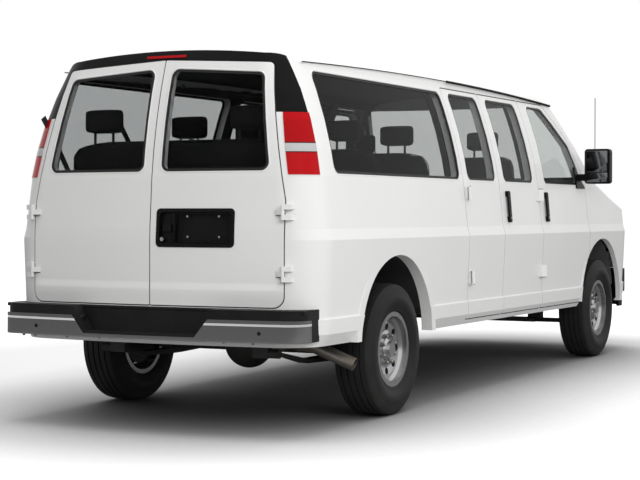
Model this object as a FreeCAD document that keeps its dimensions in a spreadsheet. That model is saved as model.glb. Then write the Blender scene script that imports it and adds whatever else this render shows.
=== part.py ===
"""A full-size passenger minibus: long wheelbase, twin rear doors and two swing-out side doors on the right.

X runs forward, Y to the left and Z up, in millimetres. The vehicle is drawn level and then stands a little
nose down, so the front axle is drawn higher than the rear one by rake_rise and every piece is placed by STANCE.
"""
import FreeCAD, Part
import math
import os
import Sketcher
from FreeCAD import Placement, Rotation, Vector

DOC = FreeCAD.newDocument("Minibus")
SHEET = DOC.addObject("Spreadsheet::Sheet", "Sizes")

SIZES = {
    # overall
    "overall_length": 6200, "wheelbase": 3937, "rear_overhang": 1250, "body_width": 2012, "rake_rise": 43,
    # side section: heights, and how far each lies inside the full half width
    "sill_height": 465, "sill_tuck": 58, "rocker_height": 532, "rocker_tuck": 12, "step_height": 612,
    "step_rise": 9, "step_low_tuck": 8, "step_high_tuck": 21, "shoulder_low": 1040, "shoulder_high": 1100,
    "shoulder_tuck": 17, "belt_height": 1385, "belt_tuck": 47, "gutter_height": 2012, "gutter_tuck": 222,
    "pane_mid_tuck": 114, "gutter_peak_rise": 36, "gutter_peak": 1150, "gutter_span": 2000,
    # roof
    "roof_height": 2150, "roof_peak": 1950, "roof_drop": 50, "roof_span": 2750, "roof_inset": 21,
    "roof_shoulder_width": 610, "roof_shoulder_drop": 34, "roof_edge_rise": 5, "roof_wall": 42,
    # rear end
    "rear_setback": 131, "rear_lean": 165, "crease_height": 800, "rear_bow_radius": 7000,
    "rear_corner_radius": 225, "seam_foot": 965, "seam_head": 850,
    # nose, hood and windscreen
    "nose_setback": 112, "nose_bow_radius": 3300, "nose_corner_radius": 210, "hood_rear_height": 1452,
    "hood_front_height": 1262, "hood_nose_height": 1110, "hood_fall": 82, "hood_half": 800,
    "hood_gap": 6, "hood_ledge": 12,
    "screen_foot": 4050, "screen_foot_height": 1400, "screen_head": 3290, "screen_head_height": 2075,
    "screen_bow_radius": 2700, "cowl_depth": 96, "pillar_width": 62, "screen_header": 70,
    # walls and floor
    "side_wall": 60, "skin": 8, "door_setback": 18, "door_gap": 7, "fender_wall": 28, "floor_height": 690,
    "floor_thickness": 50, "firewall": 3840, "firewall_thickness": 40, "bulkhead_head": 1290,
    # side shut lines forward of the rear axle, and door edges
    "shut_rear": 1110, "shut_middle": 1755, "shut_centre": 2540, "shut_front": 3630, "door_sill": 502,
    "door_head_drop": 15, "door_corner_radius": 14, "door_slope_low": 1425, "door_slope_front": 3420,
    "door_slope_mid": 1740, "door_slope_head": 3075,
    # side windows forward of the rear axle
    "window_sill": 1402, "window_head": 1968, "window_radius": 55, "quarter_window_rear": -745,
    "quarter_window_front": 1066, "rear_side_window_rear": 1190, "rear_side_window_front": 1700,
    "front_side_window_rear": 1850, "front_side_window_front": 2445, "cab_window_rear": 2680,
    "cab_window_front": 3560, "cab_window_slope": 1700, "cab_window_slope_front": 3405,
    "cab_window_head_front": 3020, "glass_inset": 5, "glass_thickness": 6,
    # rear doors and their windows
    "rear_door_sill": 680, "rear_door_half": 815, "rear_door_belt": 1250, "rear_door_head_half": 668,
    "rear_door_head": 2040, "rear_door_head_fall": 34, "rear_door_radius": 60, "rear_window_inner": 56,
    "rear_window_outer": 722, "rear_window_head_outer": 632, "rear_window_head": 1990,
    "rear_window_head_fall": 38, "rear_window_sill": 1414, "rear_window_radius": 45,
    # lamps
    "lamp_foot": 1392, "lamp_head": 1730, "lamp_inner_foot": 826, "lamp_inner_head": 764, "lamp_proud": 5,
    "lamp_depth": 45, "lamp_gap": 5, "stop_lamp_half": 128, "headlamp_inner": 575,
    "headlamp_outer": 905, "headlamp_foot": 862, "headlamp_head": 1078, "grille_half": 560,
    "grille_foot": 835, "grille_head": 1085, "grille_bars": 7, "grille_bar": 12, "grille_depth": 26,
    "grille_rim": 24,
    # wheels
    "tyre_diameter": 774, "tyre_width": 245, "track": 1742, "tread_half": 96,
    "tyre_cheek": 300, "bead_radius": 203, "bead_half": 92, "flange_radius": 220,
    "rim_half": 100, "rim_well_radius": 174, "rim_well_half": 34, "rim_sheet": 9, "disc_offset": 46,
    "disc_thickness": 12, "hub_radius": 66, "hub_length": 62, "bearing_clearance": 0.3,
    "hand_hole_radius": 21, "hand_hole_circle": 131, "hand_holes": 8, "cap_radius": 49, "cap_height": 52,
    "cap_wall": 6, "drum_radius": 150, "drum_width": 62, "drum_gap": 8,
    # wheel arches
    "arch_radius": 500, "arch_rise": 53, "arch_forward": 24, "tub_wall": 12, "rear_tub_inner": 650,
    "front_tub_inner": 500, "tub_foot": 600, "arch_lip": 56, "arch_lip_proud": 8,
    # chassis
    "rail_spacing": 430, "rail_width": 75, "rail_foot": 500, "rail_head": 600, "rail_rear": 1038,
    "rail_front": 4730, "cross_height": 38, "cross_length": 90, "mount_radius": 38,
    "axle_radius": 45, "diff_radius": 150, "spring_spacing": 560, "spring_width": 64,
    "spring_leaf": 34, "spring_reach": 700, "spring_rise": 62, "spring_seat": 66, "eye_radius": 26,
    "kingpin_spacing": 748, "kingpin_radius": 15, "upright_half": 92, "upright_width": 60,
    "upright_depth": 70, "arm_thickness": 30, "arm_width": 84, "pin_clearance": 0.3,
    "steer_gap": 3, "spindle_radius": 30, "rotor_radius": 152, "rotor_thickness": 26,
    "shaft_radius": 40, "shaft_front_height": 470, "pipe_radius": 38, "pipe_wall": 3,
    "pipe_height": 506, "pipe_spread": 270, "pipe_bend": 120, "pipe_rear": -520, "pipe_tip_spread": 950,
    "pipe_tip_height": 335, "pipe_tip_place": -480, "pipe_front": 3000, "pipe_fall_place": -150,
    "pipe_low": 437, "pipe_turn_spread": 700, "muffler_drop": 40, "muffler_strap": 240,
    "strap_width": 40, "muffler_radius": 82,
    "muffler_length": 640, "muffler_place": 1100, "tank_rear": 760, "tank_length": 900, "tank_width": 300,
    "tank_foot": 395, "tank_spread": 660, "tank_radius": 40,
    "engine_rear": 3420, "engine_length": 800, "engine_width": 560, "engine_foot": 470,
    "engine_head": 900, "engine_bracket": 70, "gearbox_length": 720, "gearbox_width": 300, "gearbox_head": 636,
    "cover_wall": 16, "cover_clearance": 24, "cover_rear": 3330, "cover_head": 945,
    # bumpers
    "bumper_foot": 497, "bumper_head": 617, "pad_head": 670, "pad_overlap": 14, "dip_foot_half": 360,
    "dip_head_half": 440, "dip_height": 518, "bumper_half": 982, "bumper_bow_radius": 6500,
    "bumper_corner_radius": 120, "bumper_sheet": 26, "bumper_front_edge": 1064, "pad_thickness": 34,
    "pad_side_front": 950, "step_top": 531, "front_bumper_foot": 533, "front_bumper_head": 722,
    "front_bumper_half": 975, "front_bumper_rear": 4555, "air_dam_foot": 412, "front_bumper_sheet": 60,
    # seats, dashboard and steering wheel
    "cushion_height": 1010, "cushion_thickness": 105, "cushion_length": 430, "back_height": 590,
    "back_thickness": 105, "back_lean": 90, "bench_width": 1180, "rear_bench_width": 1460,
    "bench_pitch": 790, "bench_rows": 4, "first_bench": 1560, "bench_offset": 50, "leg_width": 40, "leg_inset": 90,
    "cab_seat_width": 490, "cab_seat_spacing": 500, "cab_seat_place": 2640, "headrest_width": 250,
    "headrest_height": 150, "headrest_gap": 40, "headrest_stem": 9, "seat_round": 28,
    "dash_rear": 3400, "dash_head": 1340, "dash_half": 860, "wheel_radius": 195,
    "wheel_grip": 15, "wheel_place": 3290, "wheel_height": 1250, "wheel_spread": 480, "wheel_tilt": 55,
    "column_radius": 24, "column_length": 230,
    # mirrors, handles, hinges and aerial
    "mirror_place": 3480, "mirror_spread": 1118, "mirror_height": 1545, "mirror_width": 200,
    "mirror_tall": 268, "mirror_depth": 84, "mirror_round": 24, "mirror_arm": 26, "patch_proud": 12,
    "handle_length": 215, "handle_width": 40, "handle_proud": 26, "handle_height": 1230,
    "handle_inset": 95, "plate_width": 486, "plate_foot": 998, "plate_head": 1211, "plate_inner": 42,
    "plate_depth": 26, "plate_border": 20, "plate_proud": 4, "plate_round": 26, "pull_width": 74,
    "aerial_place": 4170, "aerial_spread": 868, "aerial_length": 780, "aerial_radius": 3,
    "aerial_base": 14, "hinge_radius": 11, "hinge_length": 84, "hinge_low": 770, "hinge_high": 1315,
    "hinge_reach": 46, "hinge_offset": 13, "hinge_stand": 5, "hinge_lean": 0.045, "rear_hinge_radius": 9,
    "rear_hinge_setback": 160, "rear_hinge_half": 820, "rear_hinge_low": 860, "rear_hinge_high": 1190,
    "running_gap": 8, "seat_gap": 0.3, "post_half": 45, "post_depth": 40, "overrun": 60,
}


class Size:
    """A size with its value and the formula that gives it from the sheet."""

    def __init__(self, value, formula):
        self.value, self.formula = value, formula

    def joined(self, other, sign, value, swapped=False):
        mine, theirs = self.formula, other.formula if isinstance(other, Size) else repr(other)
        if swapped:
            mine, theirs = theirs, mine
        return Size(value, f"({mine} {sign} {theirs})")

    def __float__(self):
        return float(self.value)

    def __add__(self, other):
        return self.joined(other, "+", self.value + float(other))

    def __radd__(self, other):
        return self.joined(other, "+", float(other) + self.value, True)

    def __sub__(self, other):
        return self.joined(other, "-", self.value - float(other))

    def __rsub__(self, other):
        return self.joined(other, "-", float(other) - self.value, True)

    def __mul__(self, other):
        return self.joined(other, "*", self.value * float(other))

    def __rmul__(self, other):
        return self.joined(other, "*", float(other) * self.value, True)

    def __truediv__(self, other):
        return self.joined(other, "/", self.value / float(other))

    def __rtruediv__(self, other):
        return self.joined(other, "/", float(other) / self.value, True)

    def __neg__(self):
        return Size(-self.value, f"(-1 * {self.formula})")


class Names:
    """Gives each cell of the sheet as a Size by its alias."""

    def __getattr__(self, alias):
        return Size(float(SHEET.get(alias)), f"Sizes.{alias}")


for row, (alias, value) in enumerate(SIZES.items(), start=1):
    SHEET.set(f"A{row}", alias)
    SHEET.set(f"B{row}", str(value))
    SHEET.setAlias(f"B{row}", alias)
DOC.recompute()
S = Names()

HALF = S.body_width / 2
REAR_END = -S.overall_length / 2
FRONT_END = S.overall_length / 2
REAR_AXLE = REAR_END + S.rear_overhang
WHEEL_Z = S.tyre_diameter / 2
FRONT_AXLE = REAR_AXLE + math.sqrt(float(S.wheelbase) ** 2 - float(S.rake_rise) ** 2)
FRONT_Z = WHEEL_Z + S.rake_rise
WHEEL_Y = S.track / 2
HUB = Vector(REAR_AXLE, 0, WHEEL_Z)
RAKE_ANGLE = math.degrees(math.asin(float(S.rake_rise) / float(S.wheelbase)))
STANCE = Placement(Vector(0, 0, 0), Rotation(Vector(0, 1, 0), RAKE_ANGLE), HUB)
SIDES = (("left", 1), ("right", -1))
NODES = []


def keep(name, item, place=Placement()):
    """Makes an object of the document a sub-part of the vehicle."""
    item.Label = name
    item.Placement = STANCE * place
    NODES.append(item)
    return item


def panel(name, shape):
    """Keeps a shape that was cut from the body's surfaces as one sub-part."""
    item = DOC.addObject("Part::Feature", "Panel")
    item.Shape = shape
    return keep(name, item)


def at(forward):
    """A place along the body, given forward of the rear axle."""
    return REAR_AXLE + forward


def slab(x_low, x_high, y_low, y_high, z_low, z_high):
    """A plain block between two corners."""
    low = Vector(x_low, y_low, z_low)
    size = Vector(x_high, y_high, z_high) - low
    return Part.makeBox(size.x, size.y, size.z, low)


def rounded(points, radii):
    """A closed outline through points in one plane, with a round of the given radius at each corner."""
    count = len(points)
    starts, ends, edges = [], [], []
    for index, corner in enumerate(points):
        before = (points[index - 1] - corner).normalize()
        after = (points[(index + 1) % count] - corner).normalize()
        turn = before.getAngle(after)
        radius = float(radii[index])
        reach = radius / math.tan(turn / 2)
        start, end = corner + before * reach, corner + after * reach
        starts.append(start)
        ends.append(end)
        if radius > 0:
            middle = (before + after).normalize()
            centre = corner + middle * (radius / math.sin(turn / 2))
            edges.append(Part.Arc(start, centre - middle * radius, end).toShape())
    sides = [Part.makeLine(ends[index], starts[(index + 1) % count]) for index in range(count)]
    return Part.Wire(Part.__sortEdges__(edges + sides))


def side_plate(points, radii, y_from, y_to):
    """A plate cut to an outline seen from the side, between two places across the body."""
    corners = [Vector(x, y_from, z) for x, z in points]
    return Part.Face(rounded(corners, radii)).extrude(Vector(0, float(y_to - y_from), 0))


def rear_plate(points, radii, x_from, x_to):
    """A plate cut to an outline seen from behind, between two places along the body."""
    corners = [Vector(x_from, y, z) for y, z in points]
    return Part.Face(rounded(corners, radii)).extrude(Vector(float(x_to - x_from), 0, 0))


def solid(shape):
    """The one solid of a result, or its solids together."""
    return shape.Solids[0] if len(shape.Solids) == 1 else Part.makeCompound(shape.Solids)


def fused(shapes):
    """Several shapes joined to one, with needless edges taken out."""
    return solid(shapes[0].fuse(shapes[1:]).removeSplitter())


# the body's form

def plan_wire(height, half, rear, front, rounds, inset):
    """An outline seen from above: bowed ends, round corners and straight sides, smaller all round by inset."""
    half = float(half - inset)
    rear_rounds, nose_rounds = rounds
    corners = []
    for end, (bow, corner), way in ((rear + inset, rear_rounds, 1), (front - inset, nose_rounds, -1)):
        bow, corner, end = float(bow - inset), float(corner - inset), float(end)
        y_bow = (half - corner) / (1 - corner / bow)
        slope = math.asin(y_bow / bow)
        x_bow = end + way * (bow - bow * math.cos(slope))
        x_side = x_bow + way * corner * math.cos(slope)
        middle = (slope + math.pi / 2) / 2
        centre = Vector(x_side, half - corner, height)
        turned = centre + Vector(-way * corner * math.cos(middle), corner * math.sin(middle), 0)
        corners.append((Vector(end, 0, height), Vector(x_bow, y_bow, height), turned,
                        Vector(x_side, half, height)))
    (rear_mid, rear_bow, rear_turn, rear_side), (nose_mid, nose_bow, nose_turn, nose_side) = corners

    def over(point):
        return Vector(point.x, -point.y, point.z)

    edges = [
        Part.Arc(over(rear_bow), rear_mid, rear_bow), Part.Arc(rear_bow, rear_turn, rear_side),
        Part.LineSegment(rear_side, nose_side), Part.Arc(nose_side, nose_turn, nose_bow),
        Part.Arc(nose_bow, nose_mid, over(nose_bow)), Part.Arc(over(nose_bow), over(nose_turn), over(nose_side)),
        Part.LineSegment(over(nose_side), over(rear_side)), Part.Arc(over(rear_side), over(rear_turn), over(rear_bow)),
    ]
    return Part.Wire([edge.toShape() for edge in edges])


PANE_SHARES = (0.25, 0.5, 0.75)
LEAN_POWER_SHARE = 2.6
ROOF_SHARE = 0.35
ROOF_STATION_SHARES = (-0.5, -0.25, 0, 0.2, 0.4)


def rear_at(height):
    """The rear face's place at a height: upright below the crease and leaning forward above it."""
    share = max(0, float(height - S.crease_height) / float(S.gutter_height - S.crease_height))
    return REAR_END + S.rear_setback + S.rear_lean * share ** LEAN_POWER_SHARE


def body_form(inset, plain=False):
    """The body from sill to roof as one form, drawn smaller by inset all round."""
    nose = FRONT_END - S.nose_setback
    rise = S.gutter_height - S.belt_height
    heights = [(S.sill_height, S.sill_tuck), (S.rocker_height, S.rocker_tuck), (S.step_height, S.step_low_tuck),
               (S.step_height + S.step_rise, S.step_high_tuck), (S.shoulder_low, Size(0.0, "0")),
               (S.shoulder_high, S.shoulder_tuck), (S.belt_height, S.belt_tuck)]
    if plain:
        heights = [(S.sill_height - S.overrun, S.step_high_tuck), (S.shoulder_low, S.shoulder_tuck),
                   (S.belt_height, S.belt_tuck)]
    for share in PANE_SHARES:
        bend = 2 * S.pane_mid_tuck - (S.belt_tuck + S.gutter_tuck) / 2
        tuck = (1 - share) ** 2 * S.belt_tuck + 2 * share * (1 - share) * bend + share ** 2 * S.gutter_tuck
        heights.append((S.belt_height + rise * share, tuck))
    roof = S.gutter_height + rise * ROOF_SHARE
    heights += [(S.gutter_height, S.gutter_tuck), (S.gutter_height + rise * (ROOF_SHARE / 4), S.gutter_tuck + S.roof_inset),
                (roof, S.gutter_tuck + S.roof_inset)]
    rounds = ((S.rear_bow_radius, S.rear_corner_radius), (S.nose_bow_radius, S.nose_corner_radius))
    wires = [plan_wire(float(height), HALF - tuck, rear_at(height), nose, rounds, inset)
             for height, tuck in heights]
    return Part.makeLoft(wires, True, True)


def screen_front(depth):
    """All that lies ahead of the windscreen's surface, moved back from it by depth."""
    reach = float(S.overall_length)
    foot = Vector(at(S.screen_foot), 0, S.screen_foot_height)
    head = Vector(at(S.screen_head), 0, S.screen_head_height)
    along = (head - foot).normalize()
    inward = Vector(along.z, 0, -along.x) * -float(depth)
    bow = float(S.screen_bow_radius)
    wide = float(S.body_width)
    start = foot - along * float(S.screen_foot_height) + inward
    back = bow - math.sqrt(bow ** 2 - wide ** 2 / 4)
    left, right = start + Vector(-back, wide / 2, 0), start + Vector(-back, -wide / 2, 0)
    bent = Part.Arc(left, start, right).toShape()
    far_left, far_right = left + Vector(reach, 0, 0), right + Vector(reach, 0, 0)
    rest = Part.makePolygon([right, far_right, far_left, left])
    return Part.Face(Part.Wire([bent] + rest.Edges)).extrude(along * reach)


def hood_top(depth):
    """All that lies above the hood's crowned surface, moved down from it by depth."""
    rear, nose = at(S.firewall - S.overrun * 4), FRONT_END + S.overrun
    wires = []
    span = nose - rear
    for share, height in ((0, S.hood_rear_height + S.hood_fall / 2), (0.3, S.hood_rear_height),
                          (0.75, S.hood_front_height), (0.92, S.hood_nose_height), (1, S.grille_foot)):
        place = rear + span * share
        level = float(height - depth)
        edge = level - float(S.hood_fall)
        arc = Part.Arc(Vector(place, HALF, edge), Vector(place, 0, level), Vector(place, -HALF, edge)).toShape()
        top = float(S.roof_height + S.overrun)
        rest = Part.makePolygon([Vector(place, -HALF, edge), Vector(place, -HALF, top), Vector(place, HALF, top),
                                 Vector(place, HALF, edge)])
        wires.append(Part.Wire([arc] + rest.Edges))
    return Part.makeLoft(wires, True, False)


def gutter_at(place):
    """The height of the roof gutter at a place along the body."""
    share = float(place - at(S.gutter_peak)) / float(S.gutter_span)
    return S.gutter_height + S.gutter_peak_rise * (1 - share ** 2)


def gutter_below(drop):
    """All that lies below the line of the gutter, which bows up along the body."""
    rear, nose = REAR_END - S.overrun, FRONT_END + S.overrun
    points = [Vector(place, -HALF - S.overrun, gutter_at(place) - drop)
              for place in (rear, at(S.gutter_peak), nose)]
    arc = Part.Arc(*points).toShape()
    foot = float(S.tub_foot - S.roof_height)
    rest = Part.makePolygon([points[2], Vector(points[2].x, points[2].y, foot),
                             Vector(points[0].x, points[0].y, foot), points[0]])
    return Part.Face(Part.Wire([arc] + rest.Edges)).extrude(Vector(0, float(S.body_width + 2 * S.overrun), 0))


def roof_form(inset):
    """The crowned roof as one form, drawn smaller by inset."""
    wires = []
    for share in ROOF_STATION_SHARES:
        place = float(S.overall_length) * share
        bend = (place - float(at(S.roof_peak))) / float(S.roof_span)
        crown = float(S.roof_height - S.roof_drop * bend ** 2 - inset)
        side = float(HALF - S.gutter_tuck - S.roof_inset - inset)
        edge = float(gutter_at(place) + S.roof_edge_rise - inset)
        edge = min(edge, crown - float(S.roof_shoulder_drop) * 1.5)
        knee, drop = float(S.roof_shoulder_width - inset), crown - float(S.roof_shoulder_drop)
        foot = float(S.belt_height)
        turn = Vector(place, knee + (side - knee) * 0.62, edge + (drop - edge) * 0.66)

        def over(point):
            return Vector(point.x, -point.y, point.z)

        rim, shoulder = Vector(place, side, edge), Vector(place, knee, drop)
        edges = [Part.makeLine(Vector(place, -side, foot), Vector(place, side, foot)),
                 Part.makeLine(Vector(place, side, foot), rim),
                 Part.Arc(rim, turn, shoulder).toShape(),
                 Part.Arc(shoulder, Vector(place, 0, crown), over(shoulder)).toShape(),
                 Part.Arc(over(shoulder), over(turn), over(rim)).toShape(),
                 Part.makeLine(over(rim), Vector(place, -side, foot))]
        wires.append(Part.Wire(edges))
    return Part.makeLoft(wires, True, False)


def behind_seam(gap=0):
    """All that lies behind the leaning seams at the rear corners."""
    far = REAR_END - S.overrun
    low, high = S.sill_height - S.overrun, S.roof_height + S.overrun
    lean = (S.seam_foot - S.seam_head) / (S.gutter_height - S.rear_door_sill)
    foot = at(-S.seam_foot) - gap - (S.rear_door_sill - low) * float(lean)
    head = at(-S.seam_foot) - gap + (high - S.rear_door_sill) * float(lean)
    points = [(far, low), (foot, low), (head, high), (far, high)]
    return side_plate(points, (0, 0, 0, 0), -HALF - S.overrun, HALF + S.overrun)


def bowed_ahead(reach):
    """All that lies ahead of a line across the hood, bowed like the screen's foot and reach ahead of it."""
    bow = float(S.screen_bow_radius)
    half = float(HALF + S.overrun)
    place = float(at(S.screen_foot) + reach)
    back = place - bow + math.sqrt(bow ** 2 - half ** 2)
    low, far = float(S.tub_foot), float(FRONT_END + S.overrun)
    left, right = Vector(back, half, low), Vector(back, -half, low)
    bent = Part.Arc(left, Vector(place, 0, low), right).toShape()
    rest = Part.makePolygon([right, Vector(far, -half, low), Vector(far, half, low), left])
    return Part.Face(Part.Wire([bent] + rest.Edges)).extrude(Vector(0, 0, float(S.roof_height)))


NONE = Size(0.0, "0")
WIDE = HALF + S.overrun
OUTER = body_form(NONE)
UNDER_SKIN = body_form(S.skin)
NEAR_SKIN = body_form(-S.seat_gap)
INNER = body_form(S.side_wall, plain=True)
BELOW_GUTTER = gutter_below(NONE)
AHEAD_OF_SCREEN = screen_front(NONE)
ABOVE_HOOD = hood_top(NONE)
SCREEN_LAYER = screen_front(S.roof_wall)
BEHIND_SEAM = behind_seam()
FRONT_CUT = AHEAD_OF_SCREEN.common(ABOVE_HOOD)
BODY = OUTER.common(BELOW_GUTTER).fuse(OUTER.common(roof_form(NONE)))
CAVITY = INNER.common(gutter_below(S.roof_wall)).fuse(roof_form(S.roof_wall).common(INNER))
SHELL = BODY.cut([CAVITY, FRONT_CUT])
WALLS = SHELL.common(BELOW_GUTTER)
REAR_WALL = SHELL.common(BEHIND_SEAM)


# outlines of the doors, windows and arches

def door_line(name):
    """The outline of a side door or of the whole cab door, seen from the right."""
    gap = S.door_gap / 2
    head = S.gutter_height - S.door_head_drop
    ends = {"rear": (S.shut_rear, S.shut_middle), "middle": (S.shut_middle, S.shut_centre)}
    small = S.door_corner_radius
    if name in ends:
        rear, front = at(ends[name][0]) + gap, at(ends[name][1]) - gap
        points = [(rear, S.door_sill), (front, S.door_sill), (front, head), (rear, head)]
        return points, [small] * 4
    rear, front = at(S.shut_centre) + gap, at(S.shut_front) - gap
    points = [(rear, S.door_sill), (front, S.door_sill), (front, S.door_slope_low),
              (at(S.door_slope_front), S.door_slope_mid), (at(S.door_slope_head), head), (rear, head)]
    return points, [small, small, small * 4, small * 4, small * 3, small]


def plate_between(line, y_from, y_to, grow):
    """A side plate whose outline is grown all round by some margin."""
    points, radii = line
    corners = [Vector(x, y_from, z) for x, z in points]
    wire = rounded(corners, radii)
    if float(grow):
        wire = wire.makeOffset2D(float(grow))
    return Part.Face(wire).extrude(Vector(0, float(y_to - y_from), 0))


def side_depths(way):
    """From well inside the cabin to outside the body's side."""
    return way * (S.roof_shoulder_width - S.overrun), way * WIDE


SIDE_WINDOWS = {
    "quarter": (S.quarter_window_rear, S.quarter_window_front),
    "rear": (S.rear_side_window_rear, S.rear_side_window_front),
    "middle": (S.front_side_window_rear, S.front_side_window_front),
}


def window_line(name):
    """The outline of a side window."""
    radius = S.window_radius
    if name in SIDE_WINDOWS:
        rear, front = (at(end) for end in SIDE_WINDOWS[name])
        points = [(rear, S.window_sill), (front, S.window_sill), (front, S.window_head), (rear, S.window_head)]
        return points, [radius] * 4
    points = [(at(S.cab_window_rear), S.window_sill), (at(S.cab_window_front), S.window_sill),
              (at(S.cab_window_slope_front), S.cab_window_slope), (at(S.cab_window_head_front), S.window_head),
              (at(S.cab_window_rear), S.window_head)]
    return points, [radius, radius / 2, radius * 2, radius * 2, radius]


def rear_door_line(way):
    """The outline of a rear door seen from behind."""
    gap = S.door_gap / 2
    points = [(gap, S.rear_door_sill), (S.rear_door_half, S.rear_door_sill), (S.rear_door_half, S.rear_door_belt),
              (S.rear_door_head_half, S.rear_door_head - S.rear_door_head_fall), (gap, S.rear_door_head)]
    small = S.door_corner_radius
    return [(way * y, z) for y, z in points], [small / 3, S.rear_door_radius, small * 5, small * 2, small / 3]


def rear_window_line(way):
    """The outline of a rear window seen from behind."""
    points = [(S.rear_window_inner, S.rear_window_sill), (S.rear_window_outer, S.rear_window_sill),
              (S.rear_window_head_outer, S.rear_window_head - S.rear_window_head_fall),
              (S.rear_window_inner, S.rear_window_head)]
    radius = S.rear_window_radius
    return [(way * y, z) for y, z in points], [radius] * 4


def rear_between(line, grow):
    """A plate with an outline seen from behind, through the whole rear wall."""
    points, radii = line
    start = REAR_END - S.overrun
    corners = [Vector(start, y, z) for y, z in points]
    wire = rounded(corners, radii)
    if float(grow):
        wire = wire.makeOffset2D(float(grow))
    return Part.Face(wire).extrude(Vector(float(at(-S.seam_head) + S.side_wall * 2 - start), 0, 0))


ARCHES = {"rear": (REAR_AXLE, WHEEL_Z), "front": (FRONT_AXLE, FRONT_Z)}


def arch_drum(end, radius, y_from, y_to):
    """A drum across the body at a wheel arch."""
    place, height = ARCHES[end]
    centre = Vector(place + S.arch_forward, y_from, height + S.arch_rise)
    return Part.makeCylinder(float(radius), float(y_to - y_from), centre, Vector(0, 1, 0))


def lamp_block(way, grow):
    """The block in which a tail lamp lies, behind the corner seam."""
    points = [(S.lamp_inner_foot, S.lamp_foot), (WIDE, S.lamp_foot), (WIDE, S.lamp_head),
              (S.lamp_inner_head, S.lamp_head)]
    corners = [Vector(REAR_END - S.overrun, way * y, z) for y, z in points]
    wire = Part.makePolygon(corners + corners[:1])
    if float(grow):
        wire = wire.makeOffset2D(float(grow))
    return Part.Face(wire).extrude(Vector(float(S.rear_overhang), 0, 0)).common(behind_seam(-grow))


# body panels

GLASS_LAYER = body_form(S.glass_inset).cut(body_form(S.glass_inset + S.glass_thickness))
ARCH_CUTS = [arch_drum(end, S.arch_radius, -WIDE, WIDE) for end in ARCHES]


def arch_lips():
    """The raised lips round the wheel arches: on the side panels, on the wings and, narrower, on the cab doors."""
    low = S.sill_height
    zone = slab(REAR_END, FRONT_END, -WIDE, WIDE, low, S.shoulder_low)
    proud = body_form(-S.arch_lip_proud, plain=True).common(zone)
    rings = []
    for end, width in (("rear", S.arch_lip), ("front", S.arch_lip), ("front", S.arch_lip / 3)):
        band = arch_drum(end, S.arch_radius + width, -WIDE, WIDE)
        rings.append(proud.common(band).cut([UNDER_SKIN] + ARCH_CUTS))
    wings = slab(at(S.shut_front) + S.door_gap / 2, FRONT_END, -WIDE, WIDE, low, S.roof_height)
    return {"side": rings[0], "wings": rings[1].common(wings), "doors": rings[2]}


ARCH_LIPS = arch_lips()


def aperture(name, way):
    """The opening in the fixed panels for a door."""
    return plate_between(door_line(name), *side_depths(way), S.door_gap)


def make_roof():
    """The crowned roof, from the gutters up and from the corner seams to the windscreen."""
    roof = SHELL.cut([BELOW_GUTTER, BEHIND_SEAM, AHEAD_OF_SCREEN])
    panel("roof_panel", solid(roof))


def make_side_panels():
    """The fixed panels of both sides, with their windows, arches and door openings cut."""
    front = at(S.shut_front) + S.door_gap / 2
    ahead = slab(front, FRONT_END + S.overrun, -WIDE, WIDE, S.sill_height - S.overrun, S.belt_height)
    sides = WALLS.cut([BEHIND_SEAM, ahead, SCREEN_LAYER] + ARCH_CUTS)
    for side, way in SIDES:
        half = slab(REAR_END, FRONT_END, *sorted((way * WIDE, NONE), key=float), S.sill_height - S.overrun,
                    S.roof_height)
        doors = ("cab",) if way > 0 else ("cab", "rear", "middle")
        panes = ("quarter", "rear", "middle") if way > 0 else ("quarter",)
        tools = [aperture(name, way) for name in doors]
        tools += [plate_between(window_line(name), *side_depths(way), NONE) for name in panes]
        fixed = sides.common(half).cut(tools).fuse(ARCH_LIPS["side"].common(half))
        panel(f"side_panel_{side}", solid(fixed))


def make_rear_end():
    """The frame round the rear doors, the black covers above its lamps, and the lamps."""
    start = REAR_END - S.overrun
    doors = [rear_between(rear_door_line(way), S.door_gap) for _, way in SIDES]
    rear = REAR_WALL.cut(doors)
    above = slab(start, NONE, -WIDE, WIDE, S.lamp_head, S.roof_height + S.overrun)
    lamp_zones = [lamp_block(way, NONE) for _, way in SIDES]
    proud, back = body_form(-S.lamp_proud), body_form(S.lamp_depth, plain=True)
    lamps = [solid(proud.common(zone).cut([back] + doors)) for zone in lamp_zones]
    lens = slab(start, at(-S.seam_head), -S.stop_lamp_half, S.stop_lamp_half,
                S.rear_door_head + S.door_gap * 2, S.rear_door_head + S.door_gap * 4)
    lens_form = proud.common(lens).cut(body_form(S.lamp_depth / 2, plain=True))
    covers = rear.common(above).cut([lens] + lamps)
    panel("rear_covers", solid(covers))
    leaves = rear_hinges(1)[1] + rear_hinges(-1)[1]
    panel("rear_frame", solid(rear.cut([above] + lamps).fuse(leaves)))
    panel("rear_lamps", Part.makeCompound(lamps + [solid(lens_form)]))


def make_screen():
    """The windscreen's frame with its pillars and header, and the bent glass in it."""
    start = at(S.door_slope_head) - S.side_wall
    opening = body_form(S.pillar_width, plain=True).common(
        slab(start, FRONT_END, -WIDE, WIDE, S.screen_foot_height + S.screen_header,
             S.gutter_height - S.glass_inset))
    layer = SCREEN_LAYER.cut(AHEAD_OF_SCREEN)
    low = slab(start, FRONT_END, -WIDE, WIDE, S.belt_height, S.roof_height)
    front = BODY.common(low)
    room = front.common(BELOW_GUTTER).fuse(front.common(roof_form(S.roof_wall)))
    frame = layer.common(room).cut([opening, FRONT_CUT])
    panel("screen_frame", solid(frame))
    glass = screen_front(S.glass_inset + S.glass_thickness).cut(screen_front(S.glass_inset))
    panel("windscreen", solid(glass.common(opening)))


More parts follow.
